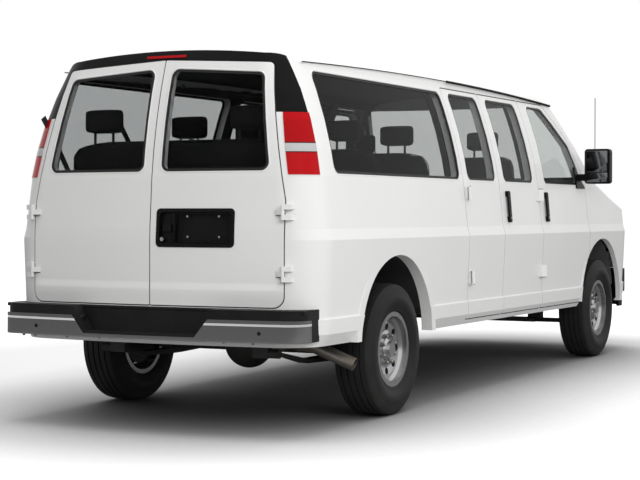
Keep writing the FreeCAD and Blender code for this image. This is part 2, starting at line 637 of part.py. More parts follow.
def make_nose():
    """The front wings with their grille and lamp openings, the hood, the cowl, the grille and the headlamps."""
    rear = at(S.shut_front) + S.door_gap / 2
    far, low = FRONT_END + S.overrun, S.sill_height - S.overrun
    nose = OUTER.common(slab(rear, far, -WIDE, WIDE, low, S.belt_height))
    foot = OUTER.common(slab(rear, far, -WIDE, WIDE, S.belt_height, S.belt_height + S.cowl_depth * 2))
    outer = nose.fuse(foot.common(AHEAD_OF_SCREEN)).cut(ABOVE_HOOD)
    hollow = body_form(S.fender_wall, plain=True).cut(hood_top(S.fender_wall))
    bumper_room = slab(at(S.front_bumper_rear) - S.door_gap, far, -WIDE, WIDE, low,
                       S.front_bumper_head + S.hood_gap)
    shell = outer.cut([hollow, bumper_room] + ARCH_CUTS)
    hood_edge = bowed_ahead(S.cowl_depth)
    over_grille = S.grille_head + S.grille_rim
    hood_zone = slab(rear, far, -S.hood_half, S.hood_half, over_grille, S.roof_height).common(hood_edge)
    gap = S.hood_gap
    hood_room = slab(rear, far, -S.hood_half - gap, S.hood_half + gap, over_grille - gap, S.roof_height)
    panel("hood", solid(shell.common(hood_zone)))
    cowl = shell.common(hood_room).cut(bowed_ahead(S.cowl_depth - gap))
    grille_zone = slab(NONE, far, -S.grille_half, S.grille_half, S.grille_foot, S.grille_head)
    lamp_zones = [slab(at(S.front_bumper_rear) - S.overrun * 4, far,
                       *sorted((way * S.headlamp_inner, way * S.headlamp_outer), key=float),
                       S.headlamp_foot, S.headlamp_head) for _, way in SIDES]
    fenders = shell.cut([hood_room, grille_zone] + lamp_zones)
    wall, ledge = S.fender_wall, S.hood_ledge
    under, inside = hood_top(wall + ledge), body_form(S.skin, plain=True)
    flanges = []
    for _, way in SIDES:
        for lid, start in ((wall + S.seat_gap, S.hood_half - ledge * 2), (wall - ledge, S.hood_half + gap)):
            low, high = sorted((way * start, way * (S.hood_half + gap + ledge)), key=float)
            strip = slab(at(S.screen_foot), at(S.front_bumper_rear), low, high, S.shoulder_low, S.belt_height)
            flanges.append(inside.common(strip).common(under).cut(hood_top(lid)))
    wings = solid(fenders.fuse([ARCH_LIPS["wings"].cut(bumper_room)] + flanges))
    panel("front_wings", wings)
    lens = body_form(S.lamp_gap, plain=True).cut(body_form(S.lamp_gap + S.fender_wall, plain=True))
    panel("headlamps", Part.makeCompound([solid(lens.common(zone)) for zone in lamp_zones]))
    skin = body_form(S.lamp_gap, plain=True).common(grille_zone)
    skin = skin.cut(body_form(S.lamp_gap + S.grille_depth, plain=True))
    rim = S.grille_rim
    hole = slab(NONE, far, -S.grille_half + rim, S.grille_half - rim, S.grille_foot + rim, S.grille_head - rim)
    pitch = (S.grille_head - S.grille_foot - 2 * rim) / (S.grille_bars + 1)
    bars = []
    for number in range(1, int(float(S.grille_bars)) + 1):
        level = S.grille_foot + rim + pitch * number
        bars.append(slab(NONE, far, -S.grille_half, S.grille_half, level - S.grille_bar / 2, level + S.grille_bar / 2))
    frame = [skin.cut(hole)] + [skin.common(bar) for bar in bars]
    panel("grille", fused(frame))
    return cowl, wings


def make_floor(cowl):
    """The floor with its wheel tubs, and the bulkhead under the cowl panel."""
    top = S.floor_height
    front = at(S.firewall)
    plate = INNER.common(slab(REAR_END, front + S.firewall_thickness, -WIDE, WIDE, top - S.floor_thickness, top))
    radius = S.arch_radius + S.tub_wall
    shells, rooms = [], []
    limit = slab(REAR_END, FRONT_END, -WIDE, WIDE, S.tub_foot, S.roof_height)
    for end, inner in (("rear", S.rear_tub_inner), ("front", S.front_tub_inner)):
        for _, way in SIDES:
            low, high = sorted((way * inner, way * WIDE), key=float)
            drum = arch_drum(end, radius, low, high)
            low, high = sorted((way * (inner + S.tub_wall), way * WIDE), key=float)
            room = arch_drum(end, S.arch_radius, low, high)
            shells.append(drum.cut(room).common(limit).common(INNER))
            rooms.append(drum)
    half = S.engine_width / 2 + S.cover_clearance
    engine = slab(at(S.cover_rear) + S.cover_wall, FRONT_END, -half, half, NONE, S.cover_head - S.cover_wall)
    floor = plate.cut([engine] + rooms).fuse(shells[:2])
    panel("floor", solid(floor.removeSplitter()))
    board = INNER.common(slab(front, front + S.firewall_thickness, -WIDE, WIDE, top, S.bulkhead_head))
    wall = board.cut([engine] + rooms).fuse(shells[2:])
    panel("bulkhead", Part.makeCompound([solid(wall.removeSplitter()), solid(cowl)]))


def hinges(line, sense, way):
    """A door's two outside hinges: barrels on its hinge axis and the flaps that carry them from the skin."""
    place = at(line) + sense * (S.door_gap / 2 + S.hinge_offset)
    ends = []
    for height in (S.hinge_low, S.hinge_high):
        for level in (height - S.hinge_length / 2, height + S.hinge_length / 2):
            across = HALF + S.hinge_stand - (level - S.shoulder_low) * S.hinge_lean
            ends.append(Vector(place, way * across, level))
    parts = []
    depth = S.hinge_radius * way
    for low, high in (ends[:2], ends[2:]):
        parts.append(Part.makeCylinder(float(S.hinge_radius), (high - low).Length, low, high - low))
        corners = [low + Vector(x, y, 0) for x, y in (
            (NONE, depth), (sense * S.hinge_reach, -depth), (sense * S.hinge_reach, -depth * 4), (NONE, -depth * 4))]
        flap = Part.Face(Part.makePolygon(corners + corners[:1])).extrude(high - low)
        parts.append(flap.cut(UNDER_SKIN))
    return parts


def rear_hinges(way):
    """The rear door's hinges: a middle barrel with its flap on the door and two end barrels on the frame."""
    x, y = REAR_END + S.rear_hinge_setback, way * S.rear_hinge_half
    radius, reach = S.rear_hinge_radius, S.hinge_reach
    door, frame = [], []
    third = S.hinge_length / 3
    for middle in (S.rear_hinge_low, S.rear_hinge_high):
        for step, owner, inward in ((-1, frame, 1), (0, door, -1), (1, frame, 1)):
            low = middle + third * (step - 0.5) + S.seat_gap * step
            owner.append(Part.makeCylinder(float(radius), float(third), Vector(x, y, low)))
            far = way * inward * reach
            corners = [Vector(x - radius, y, low), Vector(x + radius, y + far, low),
                       Vector(x + reach * 2, y + far, low), Vector(x + reach * 2, y + way * inward * radius / 2, low),
                       Vector(x + radius / 2, y, low)]
            flap = Part.Face(Part.makePolygon(corners + corners[:1])).extrude(Vector(0, 0, float(third)))
            owner.append(flap.cut(UNDER_SKIN))
    return door, frame


def make_door(name, label, way, sense=0):
    """A side door: a thin skin over a narrower inner box, its window cut through both, and its hinges."""
    depths = side_depths(way)
    line = door_line(name)
    whole = plate_between(line, *depths, NONE)
    ledge = whole.cut(plate_between(line, *depths, -S.door_setback)).common(UNDER_SKIN)
    window = plate_between(window_line(name), *depths, NONE)
    door = WALLS.common(whole).cut([ledge, window, SCREEN_LAYER] + ARCH_CUTS[1:])
    if name == "cab":
        door = door.fuse(ARCH_LIPS["doors"].common(whole))
    else:
        door = door.fuse(hinges(S.shut_rear if sense > 0 else S.shut_centre, sense, way))
    panel(label, solid(door))
    panel(f"{label}_glass", solid(GLASS_LAYER.common(window)))


def make_rear_door(label, way):
    """A rear door with its window, built as the side doors are."""
    line = rear_door_line(way)
    whole = rear_between(line, NONE)
    ledge = whole.cut(rear_between(line, -S.door_setback)).common(UNDER_SKIN)
    window = rear_between(rear_window_line(way), NONE)
    tools = [ledge, window]
    if way < 0:
        tools.append(plate_pocket())
    door = REAR_WALL.common(whole).cut(tools).fuse(rear_hinges(way)[0])
    panel(label, solid(door))
    panel(f"{label}_glass", solid(GLASS_LAYER.common(window)))


def plate_line(margin):
    """The outline of the recess for the handle and the plate, seen from behind."""
    inner, outer = S.plate_inner + margin, S.plate_inner + S.plate_width - margin
    points = [(-inner, S.plate_foot + margin), (-outer, S.plate_foot + margin), (-outer, S.plate_head - margin),
              (-inner, S.plate_head - margin)]
    return points, [S.plate_round] * 4


def plate_pocket():
    """The pocket that the black surround fills in the right rear door."""
    return rear_between(plate_line(NONE), NONE).cut(body_form(S.plate_depth, plain=True))


def make_plate_surround():
    """The black surround with its sunk plate field and its pull handle."""
    whole = rear_between(plate_line(NONE), NONE)
    sunk = rear_between(plate_line(S.plate_border), NONE)
    form = body_form(-S.plate_proud, plain=True).common(whole).cut(body_form(S.plate_depth, plain=True))
    floor_depth = S.plate_depth - S.glass_thickness
    tray = form.cut(sunk.cut(body_form(floor_depth, plain=True)))
    middle = (S.plate_foot + S.plate_head) / 2
    inner = S.plate_inner + S.plate_border
    grip = slab(REAR_END, NONE, -inner - S.pull_width, -inner - S.plate_border, middle - S.plate_border,
                middle + S.plate_border)
    bar = body_form(NONE, plain=True).common(grip).cut(body_form(floor_depth, plain=True))
    panel("plate_surround", fused([tray, bar]))


def make_fixed_glass():
    """The fixed panes of both sides."""
    panes = []
    for name in ("quarter", "rear", "middle"):
        for _, way in SIDES:
            if way > 0 or name == "quarter":
                panes.append(GLASS_LAYER.common(plate_between(window_line(name), *side_depths(way), NONE)))
    panel("side_glass", Part.makeCompound([solid(pane) for pane in panes]))


def make_posts():
    """The posts behind the shut lines, from the floor to the roof."""
    near = body_form(S.side_wall + S.running_gap, plain=True)
    far = body_form(S.side_wall + S.running_gap + S.post_depth, plain=True)
    near = near.common(BELOW_GUTTER)
    posts = []
    for _, way in SIDES:
        lines = [S.shut_centre] + ([S.shut_rear] if way < 0 else [])
        for line in lines:
            low, high = sorted((way * WIDE, NONE), key=float)
            place = slab(at(line) - S.post_half, at(line) + S.post_half, low, high, S.floor_height,
                         S.roof_height)
            posts.append(solid(near.common(place).cut([far, SHELL.common(place)])))
    panel("door_posts", Part.makeCompound(posts))

# pieces built from the document's own features

TURNS = {"x": ((0, 1, 0), 90), "y": ((1, 0, 0), -90), "z": ((0, 0, 1), 0)}


def bind(item, **sizes):
    """Ties an object's sizes to the sheet."""
    for name, size in sizes.items():
        item.setExpression(name, size.formula)
    return item


def put(item, x, y, z, axis="z"):
    """Places an object with its length along an axis and ties the place to the sheet."""
    turn, angle = TURNS[axis]
    item.Placement = Placement(Vector(x, y, z), Rotation(Vector(*turn), angle))
    for letter, size in zip("xyz", (x, y, z)):
        if isinstance(size, Size):
            item.setExpression(f"Placement.Base.{letter}", size.formula)
    return item


def block(x, y, z, length, width, height):
    """A block from its low corner."""
    item = DOC.addObject("Part::Box", "Block")
    return put(bind(item, Length=length, Width=width, Height=height), x, y, z)


def rod(x, y, z, radius, length, axis):
    """A round bar from its low end along an axis."""
    item = DOC.addObject("Part::Cylinder", "Rod")
    return put(bind(item, Radius=radius, Height=length), x, y, z, axis)


def joined(items):
    """Several objects as one."""
    item = DOC.addObject("Part::MultiFuse", "Joined")
    item.Shapes = items
    item.Refine = True
    return item


def less(base, tools):
    """One object with others cut from it."""
    for tool in tools:
        item = DOC.addObject("Part::Cut", "Less")
        item.Base, item.Tool = base, tool
        item.Refine = True
        base = item
    return base


def origin(body, role):
    """One of a body's own planes or axes."""
    return next(item for item in body.Origin.OriginFeatures if item.Role == role)


def sketch(body, plane, points):
    """A closed outline of straight sides in one of a body's planes, each corner tied to the sheet."""
    item = body.newObject("Sketcher::SketchObject", "Outline")
    item.AttachmentSupport = [(origin(body, plane), "")]
    item.MapMode = "FlatFace"
    count = len(points)
    for index, corner in enumerate(points):
        following = points[(index + 1) % count]
        item.addGeometry(Part.LineSegment(Vector(*corner, 0), Vector(*following, 0)), False)
    for index, corner in enumerate(points):
        item.addConstraint(Sketcher.Constraint("Coincident", index, 2, (index + 1) % count, 1))
        for kind, axis, size in (("DistanceX", -2, corner[0]), ("DistanceY", -1, corner[1])):
            if float(size) == 0:
                item.addConstraint(Sketcher.Constraint("PointOnObject", index, 1, axis))
            else:
                number = item.addConstraint(Sketcher.Constraint(kind, -1, 1, index, 1, float(size)))
                if isinstance(size, Size):
                    item.setExpression(f"Constraints[{number}]", size.formula)
    return item


def circle(body, plane, across, up, radius):
    """A circle in one of a body's planes."""
    item = body.newObject("Sketcher::SketchObject", "Circle")
    item.AttachmentSupport = [(origin(body, plane), "")]
    item.MapMode = "FlatFace"
    item.addGeometry(Part.Circle(Vector(across, up, 0), Vector(0, 0, 1), float(radius)), False)
    number = item.addConstraint(Sketcher.Constraint("Radius", 0, float(radius)))
    item.setExpression(f"Constraints[{number}]", radius.formula)
    number = item.addConstraint(Sketcher.Constraint("DistanceX", -1, 1, 0, 3, float(across)))
    item.setExpression(f"Constraints[{number}]", across.formula)
    item.addConstraint(Sketcher.Constraint("PointOnObject", 0, 3, -1))
    return item


def turned(body, points):
    """A full turn of an outline of radius and height about the body's upright Y axis."""
    item = body.newObject("PartDesign::Revolution", "Turned")
    item.Profile = sketch(body, "XY_Plane", points)
    item.ReferenceAxis = (item.Profile[0], ["V_Axis"])
    item.Angle = 360
    return item


def padded(body, plane, points, width):
    """An outline made solid to both sides of its plane."""
    item = body.newObject("PartDesign::Pad", "Pad")
    item.Profile = sketch(body, plane, points)
    item.Midplane = True
    item.setExpression("Length", width.formula)
    return item


def new_body():
    """A new body for one piece."""
    return DOC.addObject("PartDesign::Body", "Piece")


def rounded_edges(body, feature, radius, chosen):
    """Rounds the edges of the last feature that a test picks."""
    DOC.recompute()
    names = [f"Edge{number}" for number, edge in enumerate(feature.Shape.Edges, start=1) if chosen(edge)]
    item = body.newObject("PartDesign::Fillet", "Round")
    item.Base = (feature, names)
    item.setExpression("Radius", radius.formula)
    body.Tip = item
    return item


def hub_place(end, way):
    """A wheel's place: at the end of its axle, its own Y axis pointing outwards."""
    place, height = ARCHES[end]
    turn = Rotation(Vector(0, 0, 1), 0 if way > 0 else 180)
    return Placement(Vector(place, way * WHEEL_Y, height), turn)


# running gear

TYRE_LINE = [(S.bead_radius, S.bead_half), (S.flange_radius, S.bead_half), (S.tyre_cheek, S.tyre_width / 2),
             (S.tyre_diameter / 2, S.tread_half)]


def make_tyre(label, end, way):
    """A tyre whose beads sit inside the rim's flanges."""
    body = new_body()
    line = TYRE_LINE + [(radius, -across) for radius, across in reversed(TYRE_LINE)]
    turned(body, line)
    keep(label, body, hub_place(end, way))


def make_wheel(label, end, way):
    """A dished wheel: the rim's barrel, the disc with its hand holes, the hub's bore and its cap."""
    body = new_body()
    rim, bead, well, sheet = S.rim_half, S.bead_half, S.rim_well_half, S.rim_sheet
    seat = S.bead_radius - sheet
    turned(body, [
        (S.flange_radius, -rim), (S.flange_radius, -bead), (S.bead_radius, -bead), (S.bead_radius, -well * 2),
        (S.rim_well_radius, -well), (S.rim_well_radius, well), (S.bead_radius, well * 2), (S.bead_radius, bead),
        (S.flange_radius, bead), (S.flange_radius, rim), (seat, rim), (seat, well * 2),
        (S.rim_well_radius - sheet, well), (S.rim_well_radius - sheet, -well), (seat, -well * 2), (seat, -rim)])
    offset, thick = S.disc_offset, S.disc_thickness
    crown, dip = S.hand_hole_circle + S.hand_hole_radius, S.hand_hole_circle - S.hand_hole_radius
    top = S.hub_length + thick
    bore = S.spindle_radius + S.bearing_clearance
    turned(body, [
        (bore, NONE), (S.hub_radius, NONE), (S.hub_radius, offset - thick * 2), (dip, offset - thick),
        (crown, offset), (seat + sheet / 2, offset - thick), (seat + sheet / 2, offset), (crown, offset + thick),
        (dip, offset + thick / 2), (S.hub_radius, offset + thick), (S.hub_radius, S.hub_length),
        (S.cap_radius, top), (S.cap_radius - S.cap_wall, S.cap_height * 2 - thick), (NONE, S.cap_height * 2 - thick),
        (NONE, top), (bore, top)])
    hole = body.newObject("PartDesign::Pocket", "HandHole")
    hole.Profile = circle(body, "XZ_Plane", S.hand_hole_circle, 0, S.hand_hole_radius)
    hole.Midplane = True
    hole.setExpression("Length", (S.rim_half * 2).formula)
    ring = body.newObject("PartDesign::PolarPattern", "HandHoles")
    ring.Originals = [hole]
    ring.Axis = (origin(body, "Y_Axis"), [""])
    ring.Angle = 360
    ring.setExpression("Occurrences", S.hand_holes.formula)
    body.Tip = ring
    keep(label, body, hub_place(end, way))


def make_rear_axle():
    """The rear axle: its tube, the bulging middle, the drums, the spindles and the leaf springs clamped to it."""
    x, z = REAR_AXLE, WHEEL_Z
    drum_face = WHEEL_Y - S.drum_gap
    parts = [rod(x, -(drum_face - S.drum_width / 2), z, S.axle_radius, (drum_face - S.drum_width / 2) * 2, "y"),
             rod(x, -(WHEEL_Y + S.hub_length - S.running_gap), z, S.spindle_radius, (WHEEL_Y + S.hub_length - S.running_gap) * 2, "y")]
    middle = DOC.addObject("Part::Sphere", "Differential")
    parts.append(put(bind(middle, Radius=S.diff_radius), x, NONE, z))
    parts.append(rod(x, -(drum_face), z, S.drum_radius, S.drum_width, "y"))
    parts.append(rod(x, drum_face - S.drum_width, z, S.drum_radius, S.drum_width, "y"))
    parts.append(rod(x + S.diff_radius / 2, NONE, z, S.axle_radius, S.diff_radius, "x"))
    reach, rise = S.spring_reach, S.spring_rise
    seat = z - S.axle_radius - S.spring_leaf
    for _, way in SIDES:
        body = new_body()
        pad = padded(body, "XZ_Plane", [
            (-reach, rise + S.eye_radius), (-reach / 2, S.spring_leaf / 4), (-S.spring_seat, NONE), (S.spring_seat, NONE),
            (reach / 2, S.spring_leaf / 4), (reach, rise + S.eye_radius), (reach, rise + S.eye_radius + S.spring_leaf / 3),
            (reach / 2, S.spring_leaf), (S.spring_seat, S.spring_leaf), (-S.spring_seat, S.spring_leaf),
            (-reach / 2, S.spring_leaf), (-reach, rise + S.eye_radius + S.spring_leaf / 3)], S.spring_width)
        put(body, x, way * S.spring_spacing, seat)
        parts.append(body)
        for end in (-1, 1):
            parts.append(rod(x + end * reach, way * S.spring_spacing - S.spring_width / 2,
                             seat + rise + S.eye_radius, S.eye_radius, S.spring_width, "y"))
        parts.append(block(x - S.spring_seat, way * S.spring_spacing - S.spring_width / 2,
                           seat + S.spring_leaf / 2, S.spring_seat * 2, S.spring_width, S.axle_radius * 2))
    axle = joined(parts)
    keep("rear_axle", axle)
    return seat + rise + S.eye_radius


def make_knuckle(side, way):
    """A steering knuckle: an upright on its two pins, with the spindle and the brake's backing plate."""
    x, z = FRONT_AXLE, FRONT_Z
    pin, half = way * S.kingpin_spacing, S.upright_half
    pin_length = (half + S.arm_thickness + S.steer_gap) * 2
    outward = WHEEL_Y + S.hub_length - S.running_gap - S.kingpin_spacing
    start = S.kingpin_spacing if way > 0 else -(S.kingpin_spacing + outward)
    plate = WHEEL_Y - S.drum_gap
    plate_start = plate - S.rotor_thickness if way > 0 else -plate
    body = joined([
        block(x - S.upright_depth / 2, pin - S.upright_width / 2, z - half, S.upright_depth, S.upright_width, half * 2),
        rod(x, pin, z - pin_length / 2, S.kingpin_radius, pin_length, "z"),
        rod(x, start, z, S.spindle_radius, outward, "y"),
        rod(x, plate_start, z, S.rotor_radius, S.rotor_thickness, "y"),
        rod(x, start if way > 0 else -plate, z, S.upright_depth / 2, plate - S.kingpin_spacing, "y"),
    ])
    keep(f"knuckle_{side}", body)


def make_front_suspension():
    """The arms that hold the knuckles' pins, the beam that carries them and the posts up to the rails."""
    x, z = FRONT_AXLE, FRONT_Z
    thick, tip = S.arm_thickness, S.kingpin_spacing + S.arm_width / 2
    low = z - S.upright_half - S.steer_gap - thick
    high = z + S.upright_half + S.steer_gap
    start = x - S.arm_width / 2
    outer = S.rail_spacing + S.rail_width / 2
    parts = [block(start, -tip, low, S.arm_width, tip * 2, thick),
             block(x - S.arm_width, -outer, low, S.arm_width * 2, outer * 2, thick)]
    for _, way in SIDES:
        parts.append(block(start, outer if way > 0 else -tip, high, S.arm_width, tip - outer, thick))
        parts.append(block(start, way * S.rail_spacing - S.rail_width / 2, low, S.arm_width, S.rail_width,
                           S.rail_foot - low))
        side = outer if way > 0 else -outer - thick
        parts.append(block(start, side, low, S.arm_width, thick, high + thick - low))
    bores = [rod(x, way * S.kingpin_spacing, low - thick, S.kingpin_radius + S.pin_clearance,
                 high + thick * 3 - low, "z") for _, way in SIDES]
    keep("front_suspension", less(joined(parts), bores))


def make_chassis(eye_height):
    """The ladder frame: two rails, its cross members, body mounts and spring hangers."""
    rear, front = at(-S.rail_rear), at(S.rail_front)
    foot, height = S.rail_foot, S.rail_head - S.rail_foot
    inner = S.rail_spacing - S.rail_width / 2
    parts = [block(rear, way * S.rail_spacing - S.rail_width / 2, foot, front - rear, S.rail_width, height)
             for _, way in SIDES]
    for share in CROSS_SHARES:
        place = rear + (front - rear - S.cross_length) * share
        parts.append(block(place, -inner - S.rail_width / 2, S.rail_head - S.cross_height, S.cross_length,
                           (inner + S.rail_width / 2) * 2, S.cross_height))
    floor = S.floor_height - S.floor_thickness
    for share in MOUNT_SHARES:
        for _, way in SIDES:
            place = rear + (at(S.firewall) - rear) * share
            parts.append(rod(place, way * S.rail_spacing, S.rail_head - S.cross_height, S.mount_radius,
                             floor - S.rail_head + S.cross_height, "z"))
    edge = S.rail_spacing + S.rail_width / 2 - S.cross_height
    reach = S.spring_spacing - S.spring_width / 2 - edge
    for end in (-1, 1):
        for _, way in SIDES:
            start = edge if way > 0 else -(edge + reach)
            parts.append(block(REAR_AXLE + end * S.spring_reach - S.eye_radius, start, eye_height - S.eye_radius,
                               S.eye_radius * 2, reach, S.rail_head - eye_height))
    keep("chassis_frame", joined(parts))


def make_driveline():
    """The engine and gearbox as plain blocks on their bracket, the propeller shaft, and the cover in the cab."""
    rear, foot = at(S.engine_rear), S.engine_foot
    box = rear - S.gearbox_length
    side = S.rail_spacing - S.rail_width / 2
    engine = block(rear, -S.engine_width / 2, foot, S.engine_length, S.engine_width, S.engine_head - foot)
    gearbox = block(box, -S.gearbox_width / 2, foot - S.shaft_radius, S.gearbox_length, S.gearbox_width,
                    S.gearbox_head - foot + S.shaft_radius)
    bracket = block(rear + S.engine_length / 2, -side, S.rail_foot + S.cross_height, S.engine_bracket, side * 2,
                    S.engine_bracket - S.cross_height)
    pinion = REAR_AXLE + S.diff_radius * 1.5
    start = Vector(pinion - S.shaft_radius, 0, WHEEL_Z)
    run = Vector(box, 0, S.shaft_front_height) - start
    shaft = DOC.addObject("Part::Feature", "Shaft")
    behind = slab(REAR_AXLE, pinion + S.seat_gap, -S.diff_radius, S.diff_radius, NONE, S.rail_head)
    shaft.Shape = Part.makeCylinder(float(S.shaft_radius), run.Length, start, run).cut(behind)
    keep("driveline", joined([engine, gearbox, bracket, shaft]))
    wall = S.cover_wall
    half = S.engine_width / 2 + S.cover_clearance
    back, floor = at(S.cover_rear), S.floor_height
    outer = block(back, -half - wall, floor, at(S.firewall) - back, (half + wall) * 2, S.cover_head - floor)
    room = block(back + wall, -half, floor, at(S.firewall) - back, half * 2, S.cover_head - wall - floor)
    keep("engine_cover", less(outer, [room]))


CROSS_SHARES = (0, 0.18, 0.42, 0.62, 1)
MOUNT_SHARES = (0.02, 0.45, 0.7, 0.97)


def make_exhaust():
    """The exhaust: a pipe beside the shaft, a silencer, and a tail that turns out behind the rear wheel."""
    side, level = -S.pipe_spread, S.pipe_height
    points = [Vector(at(S.pipe_front), side, level), Vector(at(S.pipe_fall_place), side, level),
              Vector(at(S.pipe_rear), side, S.pipe_low), Vector(at(S.pipe_rear), -S.pipe_turn_spread, S.pipe_low),
              Vector(at(S.pipe_tip_place), -S.pipe_tip_spread, S.pipe_tip_height)]
    edges, last = [], points[0]
    for before, corner, after in zip(points, points[1:], points[2:]):
        back, ahead = (before - corner).normalize(), (after - corner).normalize()
        half = back.getAngle(ahead) / 2
        radius = float(S.pipe_bend)
        reach = radius / math.tan(half)
        middle = (back + ahead).normalize()
        centre = corner + middle * (radius / math.sin(half))
        start, end = corner + back * reach, corner + ahead * reach
        edges += [Part.makeLine(last, start), Part.Arc(start, centre - middle * radius, end).toShape()]
        last = end
    path = Part.Wire(edges + [Part.makeLine(last, points[-1])])

    def tube(radius):
        ring = Part.Wire(Part.makeCircle(float(radius), points[0], Vector(1, 0, 0)))
        return path.makePipeShell([ring], True, True)

    place = Vector(at(S.muffler_place), side, level - S.muffler_drop)
    silencer = Part.makeCylinder(float(S.muffler_radius), float(S.muffler_length), place, Vector(1, 0, 0))
    strap = slab(place.x + float(S.muffler_strap), place.x + float(S.muffler_strap + S.strap_width),
                 side - S.strap_width / 2, side + S.strap_width / 2, level, S.rail_head - S.cross_height)
    pipe = tube(S.pipe_radius).fuse([silencer, strap])
    panel("exhaust", solid(pipe.cut(tube(S.pipe_radius - S.pipe_wall))))


def make_tank():
    """The fuel tank, hung under the floor between the left rail and the sill."""
    body = new_body()
    half, head = S.tank_width / 2, S.floor_height - S.floor_thickness
    pad = padded(body, "YZ_Plane", [(-half, S.tank_foot), (half, S.tank_foot), (half, head), (-half, head)],
                 S.tank_length)
    rounded_edges(body, pad, S.tank_radius, lambda edge: abs(edge.tangentAt(edge.FirstParameter).x) > 0.9)
    keep("fuel_tank", body, Placement(Vector(at(S.tank_rear) + S.tank_length / 2, S.tank_spread, 0), Rotation()))


# bumpers

def bumper_block(half, corner, bow, low, high, inset):
    """A block with a bumper's bowed and round-cornered outline."""
    wire = plan_wire(float(low), half, REAR_END, FRONT_END, ((bow, corner), (bow, corner)), inset)
    return Part.Face(wire).extrude(Vector(0, 0, float(high - low)))


def below_dip(high, low):
    """All that lies below a line that dips in the middle, seen from behind."""
    foot = NONE
    inner, outer = S.dip_foot_half, S.dip_head_half
    points = [(-WIDE, foot), (WIDE, foot), (WIDE, high), (outer, high), (inner, low), (-inner, low),
              (-outer, high), (-WIDE, high)]
    return rear_plate(points, [NONE] * len(points), REAR_END - S.overrun, NONE)


def make_rear_bumper():
    """The bright rear bumper with its dip, and the black step behind it that covers its top and ends."""
    foot, head, cap = S.bumper_foot, S.bumper_head, S.pad_head

    def form(low, high, inset):
        return bumper_block(S.bumper_half, S.bumper_corner_radius, S.bumper_bow_radius, low, high, inset)

    start = REAR_END - S.overrun
    zone = slab(start, at(-S.bumper_front_edge), -WIDE, WIDE, foot, cap)
    sheet = form(foot, head, NONE).cut(form(foot - S.overrun, cap, S.bumper_sheet))
    bright = sheet.common(zone).common(below_dip(head, S.dip_height))
    panel("rear_bumper", solid(bright))
    zone = slab(start, at(-S.pad_side_front), -WIDE, WIDE, foot, cap)
    pad = form(foot, cap, S.pad_overlap).common(zone).common(below_dip(cap, S.step_top))
    thick = S.pad_thickness
    room = form(foot - S.overrun, cap, S.pad_overlap + S.bumper_sheet)
    room = room.common(below_dip(cap - thick, S.step_top - thick / 2))
    panel("rear_step", solid(pad.cut([OUTER, bright, room])))


def make_front_bumper():
    """The front bumper with the air dam under it."""
    def bar(low, high, inset, wall):
        sizes = (S.front_bumper_half, S.bumper_corner_radius * 2, S.nose_bow_radius)
        hollow = bumper_block(*sizes, low - S.overrun, high + S.overrun, inset + wall)
        return bumper_block(*sizes, low, high, inset).cut([hollow] + ARCH_CUTS[1:])

    wall = S.front_bumper_sheet
    ahead = slab(at(S.front_bumper_rear), FRONT_END + S.overrun, -WIDE, WIDE, NONE, S.roof_height)
    upper = bar(S.front_bumper_foot, S.front_bumper_head, NONE, wall)
    dam = bar(S.air_dam_foot, S.front_bumper_foot, wall / 3, wall / 3)
    brackets = [slab(at(S.rail_front), FRONT_END - wall, way * S.rail_spacing - S.rail_width / 4,
                     way * S.rail_spacing + S.rail_width / 4, S.front_bumper_foot, S.rail_head) for _, way in SIDES]
    panel("front_bumper", solid(upper.fuse(dam).common(ahead).fuse(brackets)))


# cabin

LEG_SHARES = (0.1, 0.75)
STEM_SHARES = (0.25, 0.75)


def along_y(edge):
    """Whether an edge runs across the vehicle."""
    return abs(edge.tangentAt(edge.FirstParameter).y) > 0.9


def together(items):
    """Several objects in one, whether or not they touch."""
    item = DOC.addObject("Part::Compound", "Together")
    item.Links = [joined(items)]
    return item


def make_seat(width):
    """A seat's soft cushion and leaning back in one, its rear lower corner at the origin."""
    body = new_body()
    thick, back, lean, depth, tall = (S.cushion_thickness, S.back_thickness, S.back_lean, S.cushion_length,
                                      S.back_height)
    pad = padded(body, "XZ_Plane", [
        (NONE, -thick), (depth, -thick), (depth, NONE), (back + thick / 4, NONE), (back - lean, tall), (-lean, tall),
        (-back / 4, NONE)], width)
    rounded_edges(body, pad, S.seat_round, along_y)
    return body


def seat_parts(x, y, width, heads):
    """A seat or bench at a place with its legs, and with a headrest at each of the places in heads."""
    parts = [put(make_seat(width), x, y, S.cushion_height)]
    leg = S.cushion_height - S.cushion_thickness - S.floor_height
    stem, gap = S.headrest_stem, S.headrest_gap
    for way in (-1, 1):
        for share in LEG_SHARES:
            parts.append(block(x + S.cushion_length * share, y + way * (width / 2 - S.leg_inset) - S.leg_width / 2,
                               S.floor_height, S.leg_width, S.leg_width, leg + S.seat_round))
    foot = S.cushion_height + S.back_height
    back, depth = x - S.back_lean, S.back_thickness
    for place in heads:
        low = y + place - S.headrest_width / 2
        parts.append(block(back, low, foot + gap, depth, S.headrest_width, S.headrest_height))
        for share in STEM_SHARES:
            parts.append(rod(back + depth / 2, low + S.headrest_width * share, foot - gap, stem, gap * 3, "z"))
    return parts


def make_seats():
    """The two cab seats and the four benches."""
    seats = []
    for _, way in SIDES:
        seats += seat_parts(at(S.cab_seat_place), way * S.cab_seat_spacing, S.cab_seat_width, (NONE,))
    keep("cab_seats", together(seats))
    benches = []
    for number in range(int(float(S.bench_rows))):
        last = number == int(float(S.bench_rows)) - 1
        width, offset = (S.rear_bench_width, NONE) if last else (S.bench_width, S.bench_offset)
        reach = (width - S.cab_seat_width) / 2
        benches += seat_parts(at(S.first_bench - S.bench_pitch * number), offset, width, (-reach, reach))
    keep("benches", together(benches))


